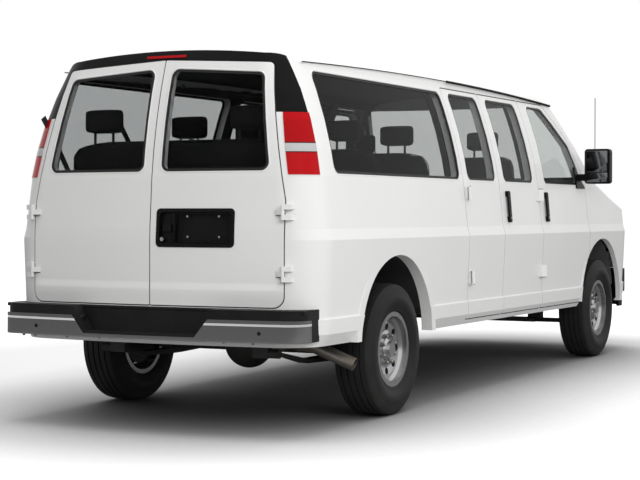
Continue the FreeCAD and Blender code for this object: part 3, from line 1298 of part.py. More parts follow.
def make_dashboard():
    """The dashboard across the cab, with the steering wheel and its column."""
    body = new_body()
    rear, front, step = at(S.dash_rear), at(S.firewall), S.overrun
    foot = FRONT_Z + S.arch_rise + S.arch_radius + S.tub_wall + S.running_gap
    pad = padded(body, "XZ_Plane", [
        (rear + step, foot), (front, foot), (front, S.dash_head), (rear + step * 2, S.dash_head),
        (rear, S.dash_head - step * 2)], S.dash_half * 2)
    rounded_edges(body, pad, S.seat_round, lambda edge: along_y(edge) and edge.CenterOfMass.x < float(front - step))
    ring = Part.makeTorus(float(S.wheel_radius), float(S.wheel_grip))
    boss = Part.makeCylinder(float(S.column_radius * 2), float(S.wheel_grip * 2), Vector(0, 0, -S.wheel_grip))
    column = Part.makeCylinder(float(S.column_radius), float(S.column_length), Vector(0, 0, -S.column_length))
    spokes = []
    for turn in (-90, 0, 90):
        spoke = Part.makeBox(float(S.wheel_radius), float(S.column_radius), float(S.wheel_grip),
                             Vector(0, -S.column_radius / 2, -S.wheel_grip / 2))
        spokes.append(spoke.rotate(Vector(0, 0, 0), Vector(0, 0, 1), turn))
    wheel = DOC.addObject("Part::Feature", "SteeringWheel")
    wheel.Shape = ring.fuse([boss, column] + spokes)
    wheel.Placement = Placement(Vector(at(S.wheel_place), S.wheel_spread, S.wheel_height),
                                Rotation(Vector(0, 1, 0), -float(90 - S.wheel_tilt)))
    keep("dashboard", joined([body, wheel]))


# fittings

def make_mirror(side, way):
    """A door mirror: a round-edged housing on an arm from the triangle at the window's front corner."""
    x, y, z = at(S.mirror_place), way * S.mirror_spread, S.mirror_height
    deep, wide, tall = S.mirror_depth / 2, S.mirror_width / 2, S.mirror_tall / 2
    shell = slab(x - deep, x + deep, y - wide, y + wide, z - tall, z + tall)
    shell = shell.makeFillet(float(S.mirror_round), [edge for edge in shell.Edges
                                                     if edge.CenterOfMass.x > float(x - deep / 2)])
    arm = S.mirror_arm
    inner, outer = sorted((way * S.roof_shoulder_width, way * (S.mirror_spread - wide / 2)), key=float)
    low = z - tall + S.mirror_round
    stay = slab(x - arm, x + arm, inner, outer, low, low + arm * 2)
    foot, front = S.window_sill - arm, at(S.shut_front) - arm
    points = [(x - arm * 3, foot), (front, foot), (x - arm * 3, z)]
    patch = side_plate(points, [S.lamp_gap] * 3, *side_depths(way))
    half = slab(NONE, FRONT_END, *sorted((way * WIDE * 2, NONE), key=float), S.belt_height - arm, S.roof_height)
    patch = body_form(-S.patch_proud).common(half).cut(NEAR_SKIN).common(patch)
    panel(f"door_mirror_{side}", fused([shell, stay.cut(NEAR_SKIN), patch]))


def handle(rear, way):
    """A pull handle that stands on the skin, with a finger gap behind it."""
    wide = S.handle_width
    low, high = S.handle_height - S.handle_length / 2, S.handle_height + S.handle_length / 2
    points = [(rear, low), (rear + wide, low), (rear + wide, high), (rear, high)]
    bar = plate_between((points, [wide / 2 - S.lamp_gap] * 4), *side_depths(way), NONE)
    bar = bar.common(body_form(-S.handle_proud, plain=True))
    grip = slab(REAR_END, FRONT_END, -WIDE, WIDE, low + wide, high - wide)
    finger = body_form(-S.handle_proud / 2, plain=True).common(grip)
    return solid(bar.cut([NEAR_SKIN, finger]))


def make_handles():
    """The black pull handles of the side doors and both cab doors."""
    panel("side_door_handle", handle(at(S.shut_middle) + S.handle_inset, -1))
    for side, way in SIDES:
        panel(f"cab_handle_{side}", handle(at(S.shut_centre) + S.handle_inset, way))


def make_aerial(wing):
    """The aerial mast on the right wing."""
    x, y = at(S.aerial_place), -S.aerial_spread
    ray = Part.makeLine(Vector(x, y, S.floor_height), Vector(x, y, S.roof_height)).common(wing)
    foot = ray.BoundBox.ZMax
    top = foot + float(S.aerial_length)
    base = Part.makeCone(float(S.aerial_base), float(S.aerial_radius * 2), float(S.aerial_base * 3),
                         Vector(x, y, foot - float(S.aerial_base)))
    mast = Part.makeCylinder(float(S.aerial_radius), top - foot, Vector(x, y, foot))
    panel("aerial", solid(base.fuse(mast).cut(wing)))


make_roof()
make_side_panels()
make_rear_end()
make_screen()
cowl, wings = make_nose()
make_floor(cowl)
for side, way in SIDES:
    make_door("cab", f"cab_door_{side}", way)
    make_rear_door(f"rear_door_{side}", way)
make_door("middle", "side_door_front", -1, -1)
make_door("rear", "side_door_rear", -1, 1)
make_plate_surround()
make_fixed_glass()
make_posts()
for side, way in SIDES:
    for end in ARCHES:
        make_tyre(f"tyre_{end}_{side}", end, way)
        make_wheel(f"wheel_{end}_{side}", end, way)
    make_knuckle(side, way)
    make_mirror(side, way)
make_front_suspension()
make_chassis(make_rear_axle())
make_driveline()
make_exhaust()
make_tank()
make_rear_bumper()
make_front_bumper()
make_seats()
make_dashboard()
make_handles()
make_aerial(wings)


def write_parts():
    """Checks every object and writes each sub-part to its own file."""
    DOC.recompute()
    failed = [item.Name for item in DOC.Objects if {"Invalid", "Error"} & set(item.State)]
    if failed:
        raise RuntimeError(f"failed objects: {failed}")
    os.makedirs("parts", exist_ok=True)
    for node in NODES:
        shape = node.Shape
        if shape.isNull() or not shape.isValid():
            raise RuntimeError(f"bad shape: {node.Label}")
        shape.exportStep(f"parts/{node.Label}.step")
        print(node.Label, len(shape.Solids), round(shape.Volume))


write_parts()
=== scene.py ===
"""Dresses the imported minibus: paint, glass, rubber and chrome on its solids, and the pieces they lack.

All places are in metres in the vehicle's own frame: X forward, Y to the left, Z up.
"""

import functools
import logging
import math
from dataclasses import dataclass
from enum import Enum
from typing import Callable, Sequence

import bmesh
import bpy
from mathutils import Matrix, Vector


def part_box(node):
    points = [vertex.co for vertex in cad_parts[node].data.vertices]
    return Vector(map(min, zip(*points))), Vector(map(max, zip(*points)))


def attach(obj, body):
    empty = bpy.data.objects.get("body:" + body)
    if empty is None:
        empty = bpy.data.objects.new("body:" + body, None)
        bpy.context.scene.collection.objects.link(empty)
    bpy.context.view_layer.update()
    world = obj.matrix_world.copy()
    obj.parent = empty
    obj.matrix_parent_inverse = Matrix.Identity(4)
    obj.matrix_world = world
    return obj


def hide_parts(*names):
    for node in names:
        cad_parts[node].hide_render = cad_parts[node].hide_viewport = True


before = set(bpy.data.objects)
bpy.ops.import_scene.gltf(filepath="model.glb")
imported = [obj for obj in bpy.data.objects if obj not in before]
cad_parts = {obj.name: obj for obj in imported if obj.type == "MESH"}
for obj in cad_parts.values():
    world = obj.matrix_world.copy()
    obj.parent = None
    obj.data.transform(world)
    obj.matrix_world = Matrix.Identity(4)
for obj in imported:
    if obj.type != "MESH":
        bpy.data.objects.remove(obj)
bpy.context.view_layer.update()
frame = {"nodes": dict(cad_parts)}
LOG = logging.getLogger("minibus")

Colour = tuple[float, float, float]
Chooser = Callable[[bmesh.types.BMFace], bool]
Material = bpy.types.Material
NodeTree = bpy.types.NodeTree
Socket = bpy.types.NodeSocket
REAR_AXLE = -1.85
RAKE = math.asin(43 / 3937)
HUB = Vector((REAR_AXLE, 0.0, 0.387))
RIGHT, LEFT, BACK = Vector((0, -1, 0)), Vector((0, 1, 0)), Vector((-1, 0, 0))
UP, DOWN = Vector((0, 0, 1)), Vector((0, 0, -1))
SAME_PLACE = 1e-5


def stance(point: Sequence[float]) -> Vector:
    """Gives the place on the standing vehicle of a point on the level one.

    Args:
        point: The point as it is on the level vehicle.

    Returns:
        The same point once the vehicle stands nose down.
    """
    return Matrix.Rotation(RAKE, 3, "Y") @ (Vector(point) - HUB) + HUB


# shader effects

class Effect(Enum):
    """The shader groups that several finishes share."""

    GRAIN = "moulded_grain"
    PEEL = "paint_peel"
    DUST = "road_dust"
    WEAVE = "cloth_weave"


class Wiring:
    """Lays nodes and links in one node tree."""

    def __init__(self, tree: NodeTree) -> None:
        """Takes the tree to work in."""
        self.tree = tree

    def feed(self, item: bpy.types.Node, values: dict[str | int, object]) -> None:
        """Sets or links inputs of a node.

        Args:
            item: The node.
            values: A value, or a socket to link, for the name or number of each input.
        """
        for name, value in values.items():
            socket = item.inputs[name]
            if isinstance(value, Socket):
                self.tree.links.new(value, socket)
            elif isinstance(value, tuple) and len(value) == 3 and socket.type == "RGBA":
                socket.default_value = (*value, 1.0)
            else:
                socket.default_value = value

    def node(self, kind: str, **values: object) -> bpy.types.Node:
        """Adds a node and sets its inputs.

        Args:
            kind: The node's type name without its ShaderNode prefix.
            values: Input names, with underscores for spaces, and a value or a socket for each.

        Returns:
            The new node.
        """
        item = self.tree.nodes.new(f"ShaderNode{kind}")
        self.feed(item, {name.replace("_", " "): value for name, value in values.items()})
        return item

    def group(self, effect: Effect, values: dict[str | int, object]) -> bpy.types.Node:
        """Places a shared effect.

        Args:
            effect: The effect.
            values: A value or a socket for each input.

        Returns:
            The new group node.
        """
        item = self.node("Group")
        item.node_tree = EFFECTS.get(effect)
        self.feed(item, values)
        return item

    def maths(self, operation: str, first: object, second: object = 0.0, clamp: bool = False) -> Socket:
        """Adds one sum of two values.

        Args:
            operation: The sum's name, such as MULTIPLY.
            first: A value or a socket.
            second: A value or a socket.
            clamp: Whether the result is kept between 0 and 1.

        Returns:
            The socket that holds the result.
        """
        item = self.node("Math")
        item.operation, item.use_clamp = operation, clamp
        self.feed(item, {0: first, 1: second})
        return item.outputs[0]

    def times(self, first: object, second: object, clamp: bool = False) -> Socket:
        """Gives the product of two values."""
        return self.maths("MULTIPLY", first, second, clamp)

    def stretch(self, value: object, middle: float, gain: object, clamp: bool = False) -> Socket:
        """Gives a value's distance from a middle one, times a gain."""
        return self.times(self.maths("SUBTRACT", value, middle), gain, clamp)

    def share(self, high: object, low: object, width: object) -> Socket:
        """Gives the difference of two values as a share of a width, from 0 to 1."""
        return self.maths("DIVIDE", self.maths("SUBTRACT", high, low), width, clamp=True)

    def band(self, value: object, low: float, high: float, soft: float) -> Socket:
        """Gives a mask that is 1 between two values and falls to 0 over a soft width."""
        return self.times(self.share(value, low, soft), self.share(high, value, soft))

    def mix(self, share: object, first: object, second: object) -> Socket:
        """Gives a mix of two colours."""
        item = self.node("Mix")
        item.data_type = "RGBA"
        self.feed(item, {0: share, 6: first, 7: second})
        return item.outputs[2]

    def place(self) -> Socket:
        """Gives the place on the object."""
        return self.node("TexCoord").outputs["Object"]

    def axes(self) -> bpy.types.NodeOutputs:
        """Gives the place on the object as its X, Y and Z."""
        return self.node("SeparateXYZ", Vector=self.place()).outputs

    def noise(self, scale: object, detail: float) -> Socket:
        """Gives cloudy noise over the object."""
        return self.node("TexNoise", Vector=self.place(), Scale=scale, Detail=detail).outputs["Fac"]

    def ripple(self, value: object, scale: float) -> Socket:
        """Gives a value folded into ribs between 0 and 1."""
        return self.maths("PINGPONG", self.times(value, scale), 1.0)


class EffectLibrary:
    """Builds each shared shader group once."""

    def __init__(self) -> None:
        """Starts with no group made."""
        self.made: dict[Effect, NodeTree] = {}

    def get(self, effect: Effect) -> NodeTree:
        """Gives the group of an effect, built on first use."""
        if effect not in self.made:
            makers = {Effect.GRAIN: self.grain, Effect.PEEL: self.peel, Effect.DUST: self.dust,
                      Effect.WEAVE: self.weave}
            self.made[effect] = makers[effect]()
        return self.made[effect]

    @staticmethod
    def begin(effect: Effect, **inputs: float | Colour) -> tuple[Wiring, bpy.types.NodeOutputs]:
        """Starts a group with its named inputs.

        Args:
            effect: The effect that the group makes.
            inputs: Input names, with underscores for spaces, and the default of each.

        Returns:
            The group's wiring and the sockets of its inputs.
        """
        tree = bpy.data.node_groups.new(effect.value, "ShaderNodeTree")
        for name, default in inputs.items():
            colour = isinstance(default, tuple)
            made = tree.interface.new_socket(name.replace("_", " "), in_out="INPUT",
                                             socket_type="NodeSocketColor" if colour else "NodeSocketFloat")
            made.default_value = (*default, 1.0) if colour else default
        return Wiring(tree), tree.nodes.new("NodeGroupInput").outputs

    @staticmethod
    def end(wiring: Wiring, **results: Socket) -> NodeTree:
        """Gives a group its named outputs.

        Args:
            wiring: The group's wiring.
            results: The socket that each output shows.

        Returns:
            The finished group.
        """
        for name in results:
            kind = "Color" if name == "Colour" else "Float"
            wiring.tree.interface.new_socket(name, in_out="OUTPUT", socket_type=f"NodeSocket{kind}")
        wiring.feed(wiring.tree.nodes.new("NodeGroupOutput"), results)
        return wiring.tree

    def grain(self) -> NodeTree:
        """Builds the fine leathery grain of moulded plastic, rubber and cast metal."""
        wiring, given = self.begin(
            Effect.GRAIN, Colour=(0.5, 0.5, 0.5), Pale_Colour=(0.6, 0.6, 0.6), Scale=400.0, Roughness=0.5,
            Roughness_Spread=0.1, Mottle_Scale=6.0)
        pits = wiring.node("TexVoronoi", Vector=wiring.place(), Scale=given["Scale"])
        mottle = wiring.noise(given["Mottle Scale"], 5.0)
        spread = wiring.stretch(mottle, 0.5, given["Roughness Spread"])
        return self.end(
            wiring,
            Colour=wiring.mix(wiring.stretch(mottle, 0.35, 2.2, True), given["Colour"], given["Pale Colour"]),
            Roughness=wiring.maths("ADD", given["Roughness"], spread, True), Height=pits.outputs["Distance"])

    def peel(self) -> NodeTree:
        """Builds the faint waviness and the slight tone change of sprayed paint."""
        wiring, given = self.begin(
            Effect.PEEL, Colour=(0.8, 0.8, 0.8), Shade_Colour=(0.7, 0.7, 0.7), Scale=160.0, Roughness=0.3)
        cloud = wiring.noise(1.4, 4.0)
        return self.end(
            wiring,
            Colour=wiring.mix(wiring.stretch(cloud, 0.4, 1.6, True), given["Colour"], given["Shade Colour"]),
            Roughness=wiring.maths("ADD", given["Roughness"], wiring.stretch(cloud, 0.5, 0.08)),
            Height=wiring.noise(given["Scale"], 2.0))

    def dust(self) -> NodeTree:
        """Builds the film of road dust that thickens towards the ground."""
        wiring, given = self.begin(
            Effect.DUST, Colour=(0.1, 0.1, 0.1), Dust_Colour=(0.3, 0.29, 0.27), Top=0.8, Amount=0.3,
            Roughness=0.5)
        fall = wiring.share(given["Top"], wiring.axes()["Z"], given["Top"])
        mask = wiring.times(wiring.times(fall, wiring.noise(9.0, 6.0)), given["Amount"], True)
        return self.end(
            wiring, Colour=wiring.mix(mask, given["Colour"], given["Dust Colour"]),
            Roughness=wiring.maths("ADD", given["Roughness"], wiring.times(mask, 0.5), True), Mask=mask)

    def weave(self) -> NodeTree:
        """Builds the crossed threads of seat cloth."""
        wiring, given = self.begin(
            Effect.WEAVE, Colour=(0.2, 0.2, 0.2), Thread_Colour=(0.3, 0.3, 0.3), Scale=300.0, Roughness=0.9)
        waves = []
        for direction in ("X", "Y", "Z"):
            wave = wiring.node("TexWave", Vector=wiring.place(), Scale=given["Scale"])
            wave.bands_direction = direction
            waves.append(wave.outputs["Fac"])
        threads = wiring.times(wiring.maths("ADD", waves[0], waves[1]), waves[2])
        fluff = wiring.noise(40.0, 6.0)
        return self.end(
            wiring,
            Colour=wiring.mix(wiring.times(threads, fluff, True), given["Colour"], given["Thread Colour"]),
            Roughness=wiring.maths("ADD", given["Roughness"], wiring.times(fluff, 0.08), True), Height=threads)


EFFECTS = EffectLibrary()


# finishes

@dataclass(frozen=True)
class Surface:
    """What every finish has: a name, a colour and a material that is built once."""

    name: str
    colour: Colour

    def material(self) -> Material:
        """Gives the material, built on first use."""
        return bpy.data.materials.get(self.name) or self.build()

    def start(self) -> tuple[Material, Wiring, bpy.types.Node]:
        """Gives a new material, its wiring and its surface shader."""
        material = bpy.data.materials.new(self.name)
        material.use_nodes = True
        return material, Wiring(material.node_tree), material.node_tree.nodes["Principled BSDF"]

    def build(self) -> Material:
        """Builds the material; each kind of finish has its own way."""
        raise NotImplementedError


@dataclass(frozen=True)
class Finish(Surface):
    """An opaque finish: its colours, gloss, surface break-up, folds and road dust."""

    second: Colour
    roughness: float
    coarse: Effect = Effect.GRAIN
    scale: float = 400.0
    bump: float = 0.1
    bump_depth: float = 0.0004
    metallic: float = 0.0
    coat: float = 0.0
    coat_roughness: float = 0.05
    dust: float = 0.0
    dust_top: float = 0.8
    specular: float = 0.5
    folds: tuple[tuple[float, float, float], ...] = ()

    def build(self) -> Material:
        """Builds the material: its break-up group, then its dust, then the surface shader."""
        material, wiring, surface = self.start()
        texture = wiring.group(self.coarse, {"Colour": self.colour, 1: self.second, "Scale": self.scale,
                                             "Roughness": self.roughness}).outputs
        colour, roughness = self.decorate(wiring, texture["Colour"]), texture["Roughness"]
        if self.dust:
            film = wiring.group(Effect.DUST, {"Colour": colour, "Roughness": roughness, "Amount": self.dust,
                                              "Top": self.dust_top}).outputs
            colour, roughness = film["Colour"], film["Roughness"]
        bump = wiring.node("Bump", Strength=self.bump, Distance=self.bump_depth, Height=texture["Height"])
        if self.folds:
            wiring.feed(bump, {"Normal": self.folded(wiring)})
        wiring.feed(surface, {
            "Base Color": colour, "Roughness": roughness, "Metallic": self.metallic, "Coat Weight": self.coat,
            "Coat Roughness": self.coat_roughness, "Normal": bump.outputs["Normal"],
            "Specular IOR Level": self.specular})
        return material

    def folded(self, wiring: Wiring) -> Socket:
        """Gives the normals of level folds, each a low height, a high one and how far it stands out."""
        up = wiring.axes()["Z"]
        height: object = 0.0
        for low, high, proud in self.folds:
            share = wiring.share(high, up, high - low)
            smooth = wiring.times(wiring.times(share, share),
                                  wiring.maths("SUBTRACT", 3.0, wiring.times(share, 2.0)))
            height = wiring.maths("ADD", height, wiring.times(smooth, proud))
        return wiring.node("Bump", Strength=1.0, Distance=1.0, Height=height).outputs["Normal"]

    def decorate(self, wiring: Wiring, colour: Socket) -> Socket:
        """Gives a finish of more than one colour a place to add the others."""
        return colour


@dataclass(frozen=True)
class LampFinish(Finish):
    """A tail lamp's lens: red and ribbed, with a clear band across it between dark seams."""

    clear: Colour = (0.50, 0.50, 0.51)
    clear_low: float = 1.526
    clear_high: float = 1.573
    top: float = 1.70
    ribs: float = 260.0
    rib_shade: float = 0.55
    rib_colour: Colour = (0.05, 0.0, 0.0)
    seam: float = 0.006
    seam_colour: Colour = (0.05, 0.01, 0.01)
    edge: float = 0.002

    def decorate(self, wiring: Wiring, colour: Socket) -> Socket:
        """Adds the reflector's fine ribs, the clear band and the thin dark seams beside it."""
        axes = wiring.axes()
        up = axes["Z"]
        facets = wiring.times(wiring.ripple(axes["Y"], self.ribs), wiring.ripple(up, self.ribs))
        upper = wiring.band(up, self.clear_high, self.top, 2 * self.edge)
        colour = wiring.mix(wiring.times(facets, wiring.times(upper, self.rib_shade)), colour, self.rib_colour)
        colour = wiring.mix(wiring.band(up, self.clear_low, self.clear_high, self.edge), colour, self.clear)
        low_seam = wiring.band(up, self.clear_low - self.seam, self.clear_low + self.edge, self.edge)
        high_seam = wiring.band(up, self.clear_high - self.edge, self.clear_high + self.seam, self.edge)
        return wiring.mix(wiring.maths("ADD", low_seam, high_seam, True), colour, self.seam_colour)


@dataclass(frozen=True)
class HeadlampFinish(Finish):
    """A headlamp seen through its clear cover: a bright bowl behind upright ribs, in a dark frame."""

    bowl_low: float = 0.835
    bowl_high: float = 1.000
    edge: float = 0.004
    frame: Colour = (0.012, 0.012, 0.013)
    ribs: float = 110.0
    rib_shade: float = 0.7
    rib_colour: Colour = (0.10, 0.10, 0.105)

    def decorate(self, wiring: Wiring, colour: Socket) -> Socket:
        """Adds the ribs and the frame above and below the bowl."""
        axes = wiring.axes()
        ribs = wiring.times(wiring.ripple(axes["Y"], self.ribs), self.rib_shade)
        colour = wiring.mix(ribs, colour, self.rib_colour)
        return wiring.mix(wiring.band(axes["Z"], self.bowl_low, self.bowl_high, self.edge), self.frame, colour)


@dataclass(frozen=True)
class GlassFinish(Surface):
    """A tinted pane, with a faint film on it."""

    smear: float = 0.02
    bend: float = 1.08
    film_share: float = 0.25
    film_shade: float = 0.7

    def build(self) -> Material:
        """Builds a transmissive surface with its film."""
        material, wiring, surface = self.start()
        film = wiring.noise(3.0, 6.0)
        shade = wiring.mix(wiring.times(film, self.film_share), self.colour,
                           tuple(self.film_shade * part for part in self.colour))
        wiring.feed(surface, {"Base Color": shade, "Roughness": wiring.times(film, self.smear),
                              "Transmission Weight": 1.0, "IOR": self.bend})
        return material


PAINT, PAINT_SHADE = (0.80, 0.80, 0.79), (0.77, 0.77, 0.765)
WHITE = Finish("body_enamel", PAINT, PAINT_SHADE, 0.34, Effect.PEEL, 220.0, 0.02, 0.0003, coat=0.08,
               specular=0.25)
DOOR_WHITE = Finish("rear_door_paint", PAINT, PAINT_SHADE, 0.30, Effect.PEEL, 220.0, 0.02, 0.0003,
                    coat=0.08, specular=0.25, folds=((0.777, 0.822, 0.012), (0.690, 0.777, -0.005)))
BLACK = Finish("black_moulding", (0.004, 0.004, 0.0043), (0.008, 0.008, 0.0083), 0.40, scale=900.0, bump=0.2,
               specular=0.10)
GLOSS_BLACK = Finish("gloss_black", (0.006, 0.006, 0.0065), (0.009, 0.009, 0.0095), 0.14, Effect.PEEL, 90.0,
                     0.02)
STEP_BLACK = Finish("step_rubber", (0.006, 0.006, 0.0063), (0.013, 0.013, 0.0136), 0.5, scale=500.0, bump=0.4,
                    dust=0.06, specular=0.15)
RUBBER = Finish("tyre_rubber", (0.008, 0.008, 0.0083), (0.014, 0.014, 0.0142), 0.62, scale=700.0, bump=0.3,
                dust=0.08, specular=0.22)
# Dark rubber of the seals; in the door gaps and in the roof's rear groove it also stands in for shade, as
# painted shade.
SEAL_AND_SHADE = Finish("seal_rubber_and_painted_shade", (0.006, 0.006, 0.006), (0.010, 0.010, 0.010), 0.5, scale=900.0, specular=0.3)
CHROME = Finish("bumper_chrome", (0.56, 0.56, 0.57), (0.50, 0.50, 0.51), 0.07, Effect.PEEL, 30.0, 0.02,
                metallic=1.0, folds=((0.599, 0.611, 0.012), (0.487, 0.520, -0.006)))
SILVER = Finish("wheel_silver", (0.50, 0.50, 0.505), (0.42, 0.42, 0.425), 0.24, Effect.PEEL, 300.0, 0.05,
                metallic=0.95, coat=0.2, dust=0.08)
NUT_STEEL = Finish("nut_steel", (0.45, 0.44, 0.42), (0.30, 0.29, 0.28), 0.35, scale=900.0, metallic=1.0)
UNDERBODY = Finish("frame_black", (0.008, 0.008, 0.008), (0.022, 0.021, 0.020), 0.6, scale=120.0, bump=0.3,
                   dust=0.2)
LINER = Finish("arch_liner", (0.09, 0.09, 0.089), (0.13, 0.13, 0.127), 0.7, scale=260.0, bump=0.4, dust=0.3)
EXHAUST = Finish("exhaust_metal", (0.33, 0.31, 0.28), (0.22, 0.18, 0.14), 0.42, scale=60.0, bump=0.2,
                 metallic=0.9)
SEAT_CLOTH = Finish("seat_cloth", (0.012, 0.012, 0.013), (0.026, 0.026, 0.028), 0.9, Effect.WEAVE, 260.0, 0.5,
                    0.0006, specular=0.15)
PIPING = Finish("seat_piping", (0.012, 0.012, 0.013), (0.020, 0.020, 0.021), 0.6, scale=900.0, bump=0.2)
BELT = Finish("belt_webbing", (0.012, 0.012, 0.013), (0.028, 0.028, 0.030), 0.8, Effect.WEAVE, 900.0, 0.5,
              0.0003)
TRIM = Finish("cabin_trim", (0.010, 0.010, 0.010), (0.016, 0.016, 0.016), 0.7, scale=600.0, bump=0.2,
              specular=0.25)
MAT = Finish("ribbed_mat", (0.020, 0.020, 0.0205), (0.035, 0.035, 0.035), 0.8, scale=250.0, bump=0.5)
DASH = Finish("dash_plastic", (0.020, 0.020, 0.021), (0.034, 0.034, 0.035), 0.5, scale=700.0, bump=0.25)
RED_LENS = LampFinish("red_lens", (0.46, 0.003, 0.006), (0.38, 0.002, 0.005), 0.12, Effect.PEEL, 30.0, 0.01,
                      specular=0.12)
# The mirror glass is coloured dark as a painted reflection of dark surroundings.
MIRROR_PAINTED_DARK = Finish("mirror_face_painted_dark", (0.16, 0.165, 0.17), (0.14, 0.145, 0.15), 0.06, Effect.PEEL, 12.0, 0.0,
                metallic=1.0)
TINT = GlassFinish("tinted_pane", (0.58, 0.59, 0.59))
CAB_TINT = GlassFinish("cab_glass", (0.72, 0.74, 0.73))
HEAD_LENS = HeadlampFinish("headlamp_lens", (0.55, 0.56, 0.58), (0.42, 0.43, 0.45), 0.08, Effect.PEEL, 60.0,
                           0.05, metallic=0.5, coat=1.0)

NODES_OF_FINISH: dict[Surface, str] = {
    WHITE: "roof_panel side_panel_left side_panel_right rear_frame screen_frame hood front_wings cab_door_left "
           "cab_door_right side_door_front side_door_rear",
    DOOR_WHITE: "rear_door_left rear_door_right",
    BLACK: "door_mirror_left door_mirror_right side_door_handle cab_handle_left cab_handle_right aerial "
           "plate_surround front_bumper rear_covers grille",
    UNDERBODY: "chassis_frame rear_axle front_suspension driveline knuckle_left knuckle_right fuel_tank",
    TRIM: "door_posts engine_cover",
    LINER: "bulkhead",
    TINT: "side_glass rear_door_left_glass rear_door_right_glass side_door_front_glass side_door_rear_glass",
    CAB_TINT: "windscreen cab_door_left_glass cab_door_right_glass",
    STEP_BLACK: "rear_step",
    CHROME: "rear_bumper",
    EXHAUST: "exhaust",
    MAT: "floor",
    SEAT_CLOTH: "cab_seats benches",
    DASH: "dashboard",
    RED_LENS: "rear_lamps",
    HEAD_LENS: "headlamps",
    RUBBER: "tyre_front_left tyre_front_right tyre_rear_left tyre_rear_right",
    SILVER: "wheel_front_left wheel_front_right wheel_rear_left wheel_rear_right",
}


def dress_nodes() -> None:
    """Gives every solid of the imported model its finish."""
    finishes = {name: finish for finish, names in NODES_OF_FINISH.items() for name in names.split()}
    for name, item in frame["nodes"].items():
        item.data.materials.clear()
        item.data.materials.append(finishes[name].material())
        LOG.info("dressed %s in %s", name, finishes[name].name)


# meshes

